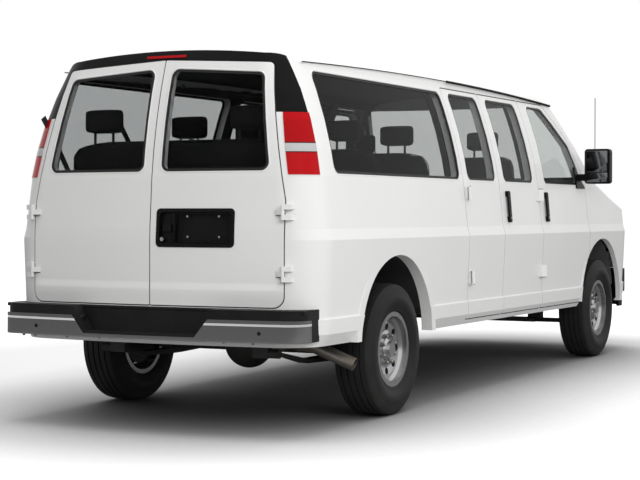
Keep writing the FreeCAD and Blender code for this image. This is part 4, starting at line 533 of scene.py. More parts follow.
class Shape:
    """A mesh that is being shaped in place, then made into a piece that rides on a body."""

    def __init__(self, name: str) -> None:
        """Starts an empty mesh for a named piece."""
        self.name = name
        self.mesh = bmesh.new()

    def from_node(self, node: str, chooser: Chooser) -> "Shape":
        """Takes the faces of a solid that a test picks.

        Args:
            node: The solid's name.
            chooser: Tells whether a face is taken.

        Returns:
            The shape itself.
        """
        self.mesh.from_mesh(frame["nodes"][node].data)
        bmesh.ops.remove_doubles(self.mesh, verts=self.mesh.verts, dist=SAME_PLACE)
        self.mesh.normal_update()
        rest = [face for face in self.mesh.faces if not chooser(face)]
        bmesh.ops.delete(self.mesh, geom=rest, context="FACES")
        return self

    def box(self, low: Sequence[float], high: Sequence[float], bevel: float = 0.0) -> None:
        """Adds a block between two corners, with rounded edges if bevel isn't 0.

        Args:
            low: Its lowest corner.
            high: Its highest corner.
            bevel: The edges' radius.
        """
        size = Vector(high) - Vector(low)
        place = Matrix.Translation((Vector(low) + Vector(high)) / 2) @ Matrix.Diagonal((*size, 1.0))
        made = bmesh.ops.create_cube(self.mesh, size=1.0, matrix=place)["verts"]
        if bevel:
            edges = list(dict.fromkeys(edge for vert in made for edge in vert.link_edges))
            bmesh.ops.bevel(self.mesh, geom=edges, offset=bevel, offset_type="OFFSET", segments=3,
                            affect="EDGES", profile=0.5, material=-1, clamp_overlap=True)

    def rod(self, start: Sequence[float], end: Sequence[float], radius: float, segments: int,
            end_radius: float | None = None) -> None:
        """Adds a round bar between two points.

        Args:
            start: The middle of one end.
            end: The middle of the other end.
            radius: The radius at the start.
            segments: How many sides it has.
            end_radius: The radius at the end, where it differs.
        """
        run, middle = Vector(end) - Vector(start), (Vector(start) + Vector(end)) / 2
        place = Matrix.Translation(middle) @ run.to_track_quat("Z", "Y").to_matrix().to_4x4()
        bmesh.ops.create_cone(self.mesh, cap_ends=True, segments=segments, radius1=radius,
                              radius2=radius if end_radius is None else end_radius, depth=run.length,
                              matrix=place)

    def turned(self, profile: Sequence[tuple[float, float]], centre: Vector, axis: Vector, steps: int) -> None:
        """Spins an open outline of radius and reach about an axis.

        Args:
            profile: Radius and reach along the axis of each point.
            centre: A point on the axis.
            axis: The axis's direction, of length 1.
            steps: How many steps the full turn has.
        """
        side = axis.orthogonal().normalized()
        verts = [self.mesh.verts.new(centre + side * radius + axis * reach) for radius, reach in profile]
        edges = [self.mesh.edges.new(pair) for pair in zip(verts, verts[1:])]
        bmesh.ops.spin(self.mesh, geom=verts + edges, cent=centre, axis=axis, dvec=(0, 0, 0), angle=math.tau,
                       steps=steps, use_merge=True, use_duplicate=False)

    def thicken(self, step: Vector) -> None:
        """Gives the open sheet made so far a thickness.

        Args:
            step: The way from the sheet to its other side.
        """
        made = bmesh.ops.extrude_face_region(self.mesh, geom=self.mesh.faces[:], use_keep_orig=True)["geom"]
        verts = [part for part in made if isinstance(part, bmesh.types.BMVert)]
        bmesh.ops.translate(self.mesh, vec=step, verts=verts)

    def swept(self, path: Sequence[Vector], section: Sequence[tuple[float, float]], upward: Vector,
              closed: bool = False) -> None:
        """Extrudes a section along a path.

        Args:
            path: The points that the section passes through.
            section: Its corners, each across and up from the path.
            upward: The direction that the section's second number follows.
            closed: Whether the path ends where it starts.
        """
        places = []
        for index, point in enumerate(path):
            before = path[index - 1] if index or closed else point
            after = path[(index + 1) % len(path)] if index + 1 < len(path) or closed else point
            along = (after - before).normalized()
            across = along.cross(upward).normalized()
            turn = Matrix((across, across.cross(along).normalized(), along)).transposed().to_4x4()
            places.append(Matrix.Translation(point) @ turn)
        ring = [self.mesh.verts.new(places[0] @ Vector((x, z, 0))) for x, z in section]
        first = edges = [self.mesh.edges.new(pair) for pair in zip(ring, ring[1:] + ring[:1])]
        for before, after in zip(places, places[1:]):
            made = bmesh.ops.extrude_edge_only(self.mesh, edges=edges)["geom"]
            ring = [part for part in made if isinstance(part, bmesh.types.BMVert)]
            edges = [part for part in made
                     if isinstance(part, bmesh.types.BMEdge) and set(part.verts) <= set(ring)]
            bmesh.ops.transform(self.mesh, matrix=after @ before.inverted(), verts=ring)
        if closed:
            bmesh.ops.bridge_loops(self.mesh, edges=first + edges)
        else:
            for loop in (first, edges):
                bmesh.ops.contextual_create(self.mesh, geom=loop)

    def rake(self) -> "Shape":
        """Turns the mesh from the level vehicle to the standing one."""
        for vert in self.mesh.verts:
            vert.co = stance(vert.co)
        return self

    def finish(self, body: str, finish: Surface, slot: str, smooth: float) -> bpy.types.Object:
        """Makes the piece, dresses it and lets it ride on a body.

        Args:
            body: The body's name.
            finish: Its finish.
            slot: A material slot's name; not used.
            smooth: The largest angle in degrees across which it is shaded smooth.

        Returns:
            The new object.
        """
        bmesh.ops.recalc_face_normals(self.mesh, faces=self.mesh.faces)
        mesh = bpy.data.meshes.new(self.name)
        self.mesh.to_mesh(mesh)
        self.mesh.free()
        item = bpy.data.objects.new(self.name, mesh)
        bpy.context.scene.collection.objects.link(item)
        mesh.materials.append(finish.material())
        mesh.shade_smooth()
        mesh.set_sharp_from_angle(angle=math.radians(smooth))
        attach(item, body)
        LOG.info("made %s with %d faces", self.name, len(mesh.polygons))
        return item


# wheels

@dataclass
class RoadWheel:
    """A tyre with its tread and sidewall rings, and the nuts on its wheel."""

    label: str
    body: str
    radius: float = 0.387
    half: float = 0.1225
    tread_half: float = 0.094
    grooves: tuple[float, ...] = (0.060, 0.020)
    groove_half: float = 0.005
    groove_floor_half: float = 0.00275
    groove_depth: float = 0.009
    steps: int = 96
    nuts: int = 8
    nut_circle: float = 0.0825
    nut_face: float = 0.060
    nut_radius: float = 0.0115
    nut_height: float = 0.018
    nut_top: float = 0.024
    washer_height: float = 0.003
    washer_sunk: float = 0.012

    def centre(self) -> Vector:
        """Gives the wheel's centre."""
        low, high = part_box(f"tyre_{self.label}")
        return (Vector(low) + Vector(high)) / 2

    def profile(self) -> list[tuple[float, float]]:
        """Gives the tyre's outline from one bead over the tread to the other.

        Returns:
            Radius and reach along the axis of each point.
        """
        top, half, tread = self.radius, self.half, self.tread_half
        right = [(0.2085, 0.088), (0.222, 0.099), (0.232, 0.108), (0.236, 0.1075), (0.250, 0.1145),
                 (0.268, half - 0.003), (0.272, half - 0.001), (0.292, half), (0.312, half - 0.0012),
                 (0.316, half - 0.0035), (0.336, half - 0.0075), (0.352, half - 0.0135),
                 (0.366, half - 0.0185), (0.376, 0.099), (top - 0.006, tread)]
        for middle in self.grooves:
            right += [(top - 0.002 * (middle / tread), middle + self.groove_half),
                      (top - self.groove_depth, middle + self.groove_floor_half),
                      (top - self.groove_depth, middle - self.groove_floor_half),
                      (top - 0.001 * (middle / tread), middle - self.groove_half)]
        return [(r, -x) for r, x in right] + [(r, x) for r, x in reversed(right)]

    def make(self) -> None:
        """Makes the tyre and the nuts."""
        centre = self.centre()
        tyre = Shape(f"tread_{self.label}")
        tyre.turned(self.profile(), centre, LEFT, self.steps)
        item = tyre.finish(self.body, RUBBER, "tyre", 28.0)
        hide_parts(f"tyre_{self.label}")
        self.make_nuts(centre)

    def make_nuts(self, centre: Vector) -> None:
        """Makes the wheel nuts round the hub, each on its own washer.

        Args:
            centre: The wheel's centre.
        """
        way = 1.0 if centre.y > 0 else -1.0
        out = Vector((0, way, 0))
        nuts = Shape(f"nuts_{self.label}")
        for index in range(self.nuts):
            turn = math.tau * (index + 0.5) / self.nuts
            spot = centre + Vector((math.cos(turn) * self.nut_circle, way * self.nut_face,
                                    math.sin(turn) * self.nut_circle))
            shoulder = spot + out * self.nut_height
            nuts.rod(spot - out * self.washer_sunk, spot + out * self.washer_height, self.nut_radius * 1.3, 16)
            nuts.rod(spot, shoulder, self.nut_radius, 6)
            nuts.rod(shoulder, spot + out * self.nut_top, self.nut_radius * 0.86, 12, self.nut_radius * 0.45)
        nuts.finish(self.body, NUT_STEEL, "silver_wheel", 30.0)


def make_wheels() -> None:
    """Makes the four road wheels' tyres and nuts."""
    for label in ("front_left", "front_right", "rear_left", "rear_right"):
        RoadWheel(label, f"wheel_{label}").make()


# windows

@dataclass
class PaneTrim:
    """The black band on a pane's edge and the painted rim round its opening."""

    node: str
    body: str
    label: str
    outward: Vector
    seal_width: float = 0.016
    seal_proud: float = 0.0006
    seal_thickness: float = 0.002
    rim_width: float = 0.009
    rim_height: float = 0.0035

    def faces_out(self, face: bmesh.types.BMFace) -> bool:
        """Tells whether a face looks out of the vehicle."""
        return face.normal.dot(self.outward) > 0.6

    def make(self) -> None:
        """Makes the seal and the rim from the pane's outer face."""
        seal = Shape(f"seal_{self.label}").from_node(self.node, self.faces_out)
        mesh = seal.mesh
        bmesh.ops.dissolve_limit(mesh, angle_limit=math.radians(1.0), verts=mesh.verts, edges=mesh.edges)
        ring = set(bmesh.ops.inset_region(mesh, faces=mesh.faces, thickness=self.seal_width,
                                          use_even_offset=True, use_boundary=True)["faces"])
        bmesh.ops.delete(mesh, geom=[face for face in mesh.faces if face not in ring], context="FACES")
        bmesh.ops.translate(mesh, vec=self.outward * self.seal_proud, verts=mesh.verts)
        bmesh.ops.solidify(mesh, geom=mesh.faces, thickness=-self.seal_thickness)
        seal.finish(self.body, SEAL_AND_SHADE, "black_plastic", 40.0)
        rim, wide, tall = Shape(f"rim_{self.label}"), self.rim_width, self.rim_height
        ridge = [(0.001, 0.0), (0.001, 0.006), (wide * 0.4, 0.005 + tall), (wide * 0.8, 0.004 + tall),
                 (wide, 0.004), (wide, 0.0)]
        for loop in self.outlines():
            rim.swept(loop, ridge, self.outward, True)
        rim.finish(self.body, WHITE, "white_paint", 60.0)

    def outlines(self) -> list[list[Vector]]:
        """Gives the outline of each pane of the node.

        Returns:
            The outlines' points, going round so that each outline's outside is on the right.
        """
        face = Shape("outline").from_node(self.node, self.faces_out)
        links: dict[bmesh.types.BMVert, list[bmesh.types.BMVert]] = {}
        for edge in face.mesh.edges:
            if edge.is_boundary:
                for vert in edge.verts:
                    links.setdefault(vert, []).append(edge.other_vert(vert))
        loops = []
        while links:
            walk = [next(iter(links))]
            while following := [vert for vert in links.pop(walk[-1]) if vert in links]:
                walk.append(following[0])
            points = [vert.co.copy() for vert in walk]
            middle = sum(points, Vector()) / len(points)
            turn = sum(((p - middle).cross(q - middle).dot(self.outward) for p, q in zip(points, points[1:])),
                       0.0)
            loops.append(points if turn > 0 else points[::-1])
        face.mesh.free()
        return loops


def make_windows() -> None:
    """Makes the trim of every side and rear window."""
    for body, outward in (("cab_door_right", RIGHT), ("cab_door_left", LEFT), ("side_door_front", RIGHT),
                          ("side_door_rear", RIGHT), ("rear_door_left", BACK), ("rear_door_right", BACK)):
        PaneTrim(f"{body}_glass", body, f"{body}_glass", outward).make()
    PaneTrim("side_glass", "vehicle", "side_glass_right", RIGHT).make()
    PaneTrim("side_glass", "vehicle", "side_glass_left", LEFT).make()


# shut lines and linings

@dataclass
class ShutSealAndShade:
    """The dark rubber in the gap round a door, seen as its shut line; it also stands in for the shade in the
    gap, as painted shade.
    """

    door: str
    outward: Vector
    sunk: float = 0.004
    width: float = 0.0045
    thickness: float = 0.0015
    weld: float = 1e-4

    def at_rim(self, edge: bmesh.types.BMEdge, middle: Vector) -> Vector | None:
        """Finds whether an edge lies on the outer rim of the door's skin.

        Args:
            edge: An edge of the door.
            middle: The door's middle.

        Returns:
            The way out of the door's side there, or None where the edge isn't on the rim.
        """
        if len(edge.link_faces) != 2:
            return None
        skin, side = sorted(edge.link_faces, key=lambda face: -face.normal.dot(self.outward))
        if skin.normal.dot(self.outward) < 0.7 or abs(side.normal.dot(self.outward)) > 0.35:
            return None
        place = (edge.verts[0].co + edge.verts[1].co) / 2 - middle
        flat = place - self.outward * place.dot(self.outward)
        return side.normal if side.normal.dot(flat) >= 0.2 * flat.length else None

    def make(self) -> None:
        """Makes the seal from the outer rim of the door's skin."""
        source = Shape("skin").from_node(self.door, lambda face: True).mesh
        low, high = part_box(self.door)
        shape = Shape(f"shut_seal_and_shade_{self.door}")
        for edge in source.edges:
            way = self.at_rim(edge, (low + high) / 2)
            if way is not None:
                near = [vert.co - self.outward * self.sunk for vert in edge.verts]
                far = [point + way * self.width for point in near]
                shape.mesh.faces.new([shape.mesh.verts.new(point) for point in (*near, *far[::-1])])
        source.free()
        bmesh.ops.remove_doubles(shape.mesh, verts=shape.mesh.verts, dist=self.weld)
        shape.thicken(-self.outward * self.thickness)
        # The seal's near-black colour also paints the shade in the door's gap.
        shape.finish(self.door, SEAL_AND_SHADE, "black_plastic", 40.0)


@dataclass
class Lining:
    """The dark trim on the inside of a panel."""

    node: str
    body: str
    inward: Vector
    steepness: float = 0.6
    gap: float = 0.001
    thickness: float = 0.0015

    def make(self) -> None:
        """Makes the lining from the panel's inner faces."""
        shape = Shape(f"lining_{self.node}")
        shape.from_node(self.node, lambda face: face.normal.dot(self.inward) > self.steepness)
        bmesh.ops.translate(shape.mesh, vec=self.inward * self.gap, verts=shape.mesh.verts)
        shape.thicken(self.inward * self.thickness)
        shape.finish(self.body, TRIM, "floor_mat", 40.0)


def make_shut_lines() -> None:
    """Makes the seals of all doors, whose dark rubber also stands in for the shade in the gaps as painted
    shade, and the linings of the cabin.
    """
    for door, outward in (("cab_door_left", LEFT), ("cab_door_right", RIGHT), ("side_door_front", RIGHT),
                          ("side_door_rear", RIGHT), ("rear_door_left", BACK), ("rear_door_right", BACK)):
        ShutSealAndShade(door, outward).make()
        Lining(door, door, -outward).make()
    Lining("roof_panel", "vehicle", DOWN, 0.35).make()
    Lining("side_panel_left", "vehicle", RIGHT).make()
    Lining("side_panel_right", "vehicle", LEFT).make()


@dataclass
class Gutter:
    """The drip moulding along the edge of the roof, black in front; behind, a dark bead stands in for the shade
    in the roof's soft groove, as painted shade.
    """

    half: float = 0.790
    height: float = 2.012
    peak: float = -0.700
    peak_rise: float = 0.036
    span: float = 2.0
    front: float = 1.42
    change: float = -0.62
    joint: float = 0.001
    rear: float = -2.66
    groove_shade_out: float = 0.002
    steps: int = 30

    def line(self, start: float, end: float, way: float, out: float) -> list[Vector]:
        """Gives points of the roof's edge between two places along the level vehicle.

        Args:
            start: Where the line starts.
            end: Where it ends.
            way: 1 at the left side and -1 at the right.
            out: How far it lies outside the edge.

        Returns:
            The points.
        """
        points = []
        for index in range(self.steps + 1):
            place = start + (end - start) * index / self.steps
            share = (place - self.peak) / self.span
            points.append(Vector((place, way * (self.half + out),
                                  self.height + self.peak_rise * (1 - share ** 2))))
        return points

    def make(self) -> None:
        """Makes both parts on both sides."""
        black, groove_shade = Shape("gutter_black"), Shape("gutter_groove_shade")
        lip = [(-0.004, -0.007), (0.004, -0.009), (0.008, -0.004), (0.008, 0.004), (0.003, 0.008),
               (-0.006, 0.008)]
        bead = [(-0.004, -0.003), (0.001, -0.003), (0.001, 0.003), (-0.004, 0.003)]
        for way in (-1.0, 1.0):
            black.swept(self.line(self.change, self.front, way, 0.0), [(x * -way, z) for x, z in lip], UP)
            # Painted shade: the dark bead behind stands in for the shade in the soft groove along the roof's
            # rear edge.
            groove_shade.swept(self.line(self.rear, self.change - self.joint, way, self.groove_shade_out),
                       [(x * -way, z) for x, z in bead], UP)
        black.rake().finish("vehicle", BLACK, "black_plastic", 40.0)
        groove_shade.rake().finish("vehicle", SEAL_AND_SHADE, "black_plastic", 40.0)


# rear end

@dataclass
class RearDetails:
    """What stands on the rear end: the step's back wall, sensors, bolts, sockets and the plate field."""

    well_back: float = -2.998
    well_top: float = 0.664
    well_foot: float = 0.500
    well_top_half: float = 0.455
    well_foot_half: float = 0.375
    well_rim: float = 0.028
    well_step: float = 0.006
    sill: tuple[tuple[float, float, float], ...] = ((-2.975, -0.97, 0.662), (-2.935, 0.97, 0.682))
    sensor: float = 0.011
    sensor_spots: tuple[tuple[float, float, float], ...] = ((-3.061, 0.702, 0.5615), (-3.0565, -0.742, 0.5625))
    bolt_spots: tuple[float, ...] = (-0.70, -0.52, 0.28, 0.50, 0.72, 0.80)
    bolt_back: float = -3.045
    bolt_radius: float = 0.010
    socket_back: float = -3.035
    socket_side: float = 0.40
    socket_height: float = 0.600
    field_margin: float = 0.028
    field_left: float = 0.035
    field_right: float = 0.345

    def make_well(self) -> None:
        """Makes the black wall behind the step's dip, with its frame, and the filler under the doors."""
        well = Shape("step_well")
        outline = [(-self.well_top_half, self.well_top), (self.well_top_half, self.well_top),
                   (self.well_foot_half, self.well_foot), (-self.well_foot_half, self.well_foot)]
        face = well.mesh.faces.new([well.mesh.verts.new((self.well_back, y, z)) for y, z in outline])
        bmesh.ops.inset_region(well.mesh, faces=[face], thickness=self.well_rim, depth=0.0)
        for vert in face.verts:
            vert.co.x += self.well_step
        bmesh.ops.solidify(well.mesh, geom=well.mesh.faces, thickness=0.006)
        well.box(*self.sill, 0.004)
        well.finish("vehicle", STEP_BLACK, "black_plastic", 40.0)

    def make_sensors(self) -> None:
        """Makes the two round sensors in the bright bumper, each in its ring."""
        shape = Shape("bumper_sensors")
        for spot in self.sensor_spots:
            centre = Vector(spot)
            shape.rod(centre + BACK * 0.0015, centre - BACK * 0.010, self.sensor, 28)
            shape.rod(centre + BACK * 0.003, centre, self.sensor * 0.72, 28)
        shape.finish("vehicle", GLOSS_BLACK, "black_plastic", 30.0)

    def make_bolts(self) -> None:
        """Makes the bolts' heads under the bumper's lower edge and the two round sockets of the step."""
        shape = Shape("bumper_bolts")
        for y in self.bolt_spots:
            shape.rod((self.bolt_back, y, 0.512), (self.bolt_back, y, 0.501), self.bolt_radius, 12,
                      self.bolt_radius * 0.6)
        shape.finish("vehicle", NUT_STEEL, "chrome", 30.0)
        sockets = Shape("step_sockets")
        for way in (-1.0, 1.0):
            spot = Vector((self.socket_back, way * self.socket_side, self.socket_height))
            sockets.rod(spot + Vector((0.0, way * 0.016, 0.010)), spot, 0.026, 24)
            sockets.rod(spot + Vector((0.0, -way * 0.006, -0.004)), spot, 0.015, 24)
        sockets.finish("vehicle", STEP_BLACK, "black_plastic", 30.0)

    def make_plate_field(self) -> None:
        """Makes the blank plate field's frame, its four slotted screws and the lock."""
        low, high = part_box("plate_surround")
        back = low.x
        left, right = low.y + self.field_left, low.y + self.field_right
        foot, head = low.z + self.field_margin, high.z - self.field_margin
        field = Shape("plate_field")
        outline = [(left, foot), (right, foot), (right - 0.006, head), (left + 0.006, head)]
        field.swept([Vector((back + 0.016, y, z)) for y, z in outline],
                    [(-0.003, -0.003), (0.003, -0.003), (0.003, 0.003), (-0.003, 0.003)], -BACK, True)
        field.box((back + 0.010, high.y - 0.120, foot), (back + 0.020, high.y - 0.104, head), 0.003)
        field.finish("rear_door_right", BLACK, "black_plastic", 30.0)
        screws = Shape("plate_screws")
        for y in (left + 0.055, right - 0.055):
            for z in (foot + 0.030, head - 0.016):
                spot = Vector((back + 0.019, y, z))
                screws.rod(spot, spot + BACK * 0.004, 0.0075, 18, 0.006)
                screws.box((back + 0.0140, y - 0.0012, z - 0.005), (back + 0.0152, y + 0.0012, z + 0.005))
        spot = Vector((back + 0.012, high.y - 0.036, foot + 0.016))
        screws.rod(spot - BACK * 0.006, spot + BACK * 0.008, 0.013, 24, 0.011)
        screws.box((back + 0.0025, spot.y - 0.0015, spot.z - 0.006),
                   (back + 0.0045, spot.y + 0.0015, spot.z + 0.006))
        screws.finish("rear_door_right", NUT_STEEL, "chrome", 30.0)

    def make(self) -> None:
        """Makes all of them."""
        self.make_well()
        self.make_sensors()
        self.make_bolts()
        self.make_plate_field()


# fittings of the sides

@dataclass
class DoorMirror:
    """A door mirror's two glasses: a flat one over a small wide-angle one."""

    side: str
    way: float
    lens_low: float = 1.386
    lens_split: float = 1.462
    lens_high: float = 1.626
    lens_gap: float = 0.003
    lens_width: float = 0.166
    margin: float = 0.016
    face: float = 1.6305 - 0.042
    half_thickness: float = 0.004

    def make(self) -> None:
        """Makes both glasses just behind the housing's rear face."""
        low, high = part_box(f"door_mirror_{self.side}")
        outer = self.way * (max(abs(low.y), abs(high.y)) - self.margin)
        left, right = sorted((outer - self.way * self.lens_width, outer))
        shape = Shape(f"mirror_glass_{self.side}")
        for foot, head in ((self.lens_low, self.lens_split - self.lens_gap),
                           (self.lens_split + self.lens_gap, self.lens_high)):
            shape.box((self.face - self.half_thickness, left, foot),
                      (self.face + self.half_thickness, right, head), 0.003)
        # The glasses' dark colour is a painted reflection.
        shape.finish(f"cab_door_{self.side}", MIRROR_PAINTED_DARK, "black_plastic", 30.0)


def make_handle_details() -> None:
    """Makes the lock barrel and the pivot pin of each pull handle."""
    for node, body, way in (("side_door_handle", "side_door_front", -1.0),
                            ("cab_handle_right", "cab_door_right", -1.0),
                            ("cab_handle_left", "cab_door_left", 1.0)):
        low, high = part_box(node)
        shape = Shape(f"lock_{node}")
        face = low.y if way < 0 else high.y
        for rise, radius in ((0.030, 0.0085), (0.058, 0.004)):
            spot = Vector(((low.x + high.x) / 2, face - way * 0.002, low.z + rise))
            shape.rod(spot, spot + Vector((0, way * 0.004, 0)), radius, 20, radius * 0.8)
        shape.finish(body, NUT_STEEL, "chrome", 30.0)


# front

@dataclass
class Wiper:
    """A wiper that lies on the windscreen's foot, from its pivot to its tip."""

    pivot: float
    tip: float
    sweep: float = 0.16
    arm: float = 0.008
    blade: float = 0.006
    boss: float = 0.016
    boss_half: float = 0.012

    def make(self, shape: Shape) -> None:
        """Adds the arm, the blade and the pivot's boss.

        Args:
            shape: The shape that holds both wipers.
        """
        back = self.sweep * abs(self.tip)
        start = Vector((2.150, self.pivot, 1.405))
        elbow = Vector((2.130 - back, (self.pivot + self.tip) / 2, 1.445))
        shape.rod(start, elbow, self.arm, 10, self.blade)
        shape.rod(elbow, Vector((2.110 - back, self.tip, 1.452)), self.blade, 10, 0.004)
        shape.rod(start + DOWN * self.boss_half, start + UP * self.boss_half, self.boss, 20)


def make_wipers() -> None:
    """Makes the two wipers."""
    wipers = Shape("wipers")
    for pivot, tip in ((-0.62, 0.04), (0.10, 0.76)):
        Wiper(pivot, tip).make(wipers)
    wipers.rake().finish("vehicle", BLACK, "black_plastic", 30.0)


# seats

@dataclass(frozen=True)
class Pad:
    """A stuffed cushion in its own frame, x along it, y across and z out of its face.

    Its cover is sewn at the seams and channels and swells between them under the pressure of its filling.
    """

    size: tuple[float, float, float]
    channels: tuple[float, ...] = ()
    crown: float = 0.16
    cuts: int = 9
    groove: float = 0.007
    groove_half: float = 0.006
    groove_cuts: tuple[float, ...] = (-0.012, -0.005, 0.0, 0.005, 0.012)
    swell: float = 0.005
    most: float = 0.011
    voxel: float = 0.015
    seam: float = 0.72
    rim_steps: int = 14
    pressure: float = 4.0
    frames: int = 20

    def shaped(self, point: Vector) -> Vector:
        """Gives a point of the slack cover.

        Args:
            point: The point of the cube that the cover is drawn from, from -1 to 1 along each side.

        Returns:
            Its place in the pad's frame.
        """
        u, v, w = point
        edge_u, edge_v, edge_w = (1 - 0.10 * reach ** 6 for reach in
                                  (max(abs(v), abs(w)), max(abs(u), abs(w)), max(abs(u), abs(v))))
        fall = self.crown * (0.65 * abs(u) ** 3.2 + 0.35 * abs(v) ** 8)
        pull = 1 - 0.018 * (1 - u * u) * abs(v) ** 4
        half = [part / 2 - self.swell for part in self.size]
        return Vector((u * edge_u * half[0], v * edge_v * pull * half[1],
                       w * (1 - (fall if w > 0 else fall * 0.25)) * edge_w * half[2]))

    def sewn(self, place: Vector) -> bool:
        """Tells whether a point of the cover lies on a channel's or an edge's stitches."""
        reach = self.voxel * 0.6
        u, v, w = (part / (size / 2 - self.swell) for part, size in zip(place, self.size))
        on_channel = w > 0 and any(abs(v - spot) * self.size[1] / 2 < reach for spot in self.channels)
        at_rim = max(abs(u), abs(v)) > 0.86
        return on_channel or (at_rim and abs(abs(w) - self.seam) * self.size[2] / 2 < reach)

    def swollen(self, slack: bpy.types.Mesh) -> bpy.types.Mesh:
        """Runs the cloth simulation.

        Args:
            slack: The slack cover.

        Returns:
            The swollen cover.
        """
        scene = bpy.context.scene
        item = bpy.data.objects.new("pad_cloth", slack)
        scene.collection.objects.link(item)
        remesh = item.modifiers.new("Remesh", "REMESH")
        remesh.mode, remesh.voxel_size = "VOXEL", self.voxel
        cover = bpy.data.meshes.new_from_object(item.evaluated_get(bpy.context.evaluated_depsgraph_get()))
        item.modifiers.clear()
        item.data = cover
        stitches = item.vertex_groups.new(name="stitches")
        start = [vert.co.copy() for vert in cover.vertices]
        stitches.add([index for index, place in enumerate(start) if self.sewn(place)], 1.0, "REPLACE")
        cloth = item.modifiers.new("Cloth", "CLOTH")
        cloth.settings.use_pressure, cloth.settings.uniform_pressure_force = True, self.pressure
        cloth.settings.vertex_group_mass = stitches.name
        cloth.settings.effector_weights.gravity = 0.0
        cloth.collision_settings.use_collision = False
        cloth.point_cache.frame_start, cloth.point_cache.frame_end = 1, self.frames
        for number in range(1, self.frames + 1):
            scene.frame_set(number)
        done = item.evaluated_get(bpy.context.evaluated_depsgraph_get()).data
        moved = [vert.co.copy() for vert in done.vertices]
        scene.frame_set(1)
        bpy.data.objects.remove(item)
        for vert, old, new in zip(cover.vertices, start, moved):
            step = new - old
            vert.co = old + step * min(1.0, self.most / max(step.length, 1e-9))
        return cover

    def groove_channels(self, mesh: bmesh.types.BMesh) -> None:
        """Cuts lines along the sewn channels and draws them in."""
        spots = [spot * self.size[1] / 2 for spot in self.channels]
        for spot in spots:
            for step in self.groove_cuts:
                bmesh.ops.bisect_plane(mesh, geom=mesh.verts[:] + mesh.edges[:] + mesh.faces[:],
                                       plane_co=(0, spot + step, 0), plane_no=(0, 1, 0), dist=SAME_PLACE)
        for vert in mesh.verts:
            if vert.co.z > 0:
                ends = 1 - min(1.0, abs(2 * vert.co.x / self.size[0])) ** 8
                for spot in spots:
                    reach = vert.co.y - spot
                    vert.co.z -= self.groove * math.exp(-(reach / self.groove_half) ** 2) * ends

    def rim(self) -> list[Vector]:
        """Gives the points of the seam round its face."""
        corners = [(-1, -1), (1, -1), (1, 1), (-1, 1)]
        shares = [step / self.rim_steps for step in range(self.rim_steps)]
        return [self.shaped(Vector((a + (c - a) * share, b + (d - b) * share, self.seam)))
                for (a, b), (c, d) in zip(corners, corners[1:] + corners[:1]) for share in shares]


@functools.cache
def pad_mesh(pad: Pad) -> bpy.types.Mesh:
    """Gives the finished mesh of a pad, made once for all places that it is used in.

    Args:
        pad: The pad.

    Returns:
        Its mesh, in the pad's own frame.
    """
    shape = bmesh.new()
    bmesh.ops.create_cube(shape, size=2.0)
    bmesh.ops.subdivide_edges(shape, edges=shape.edges, cuts=pad.cuts, use_grid_fill=True)
    for vert in shape.verts:
        vert.co = pad.shaped(vert.co)
    mesh = bpy.data.meshes.new("pad")
    shape.to_mesh(mesh)
    mesh = pad.swollen(mesh)
    shape.clear()
    shape.from_mesh(mesh)
    pad.groove_channels(shape)
    shape.to_mesh(mesh)
    shape.free()
    return mesh


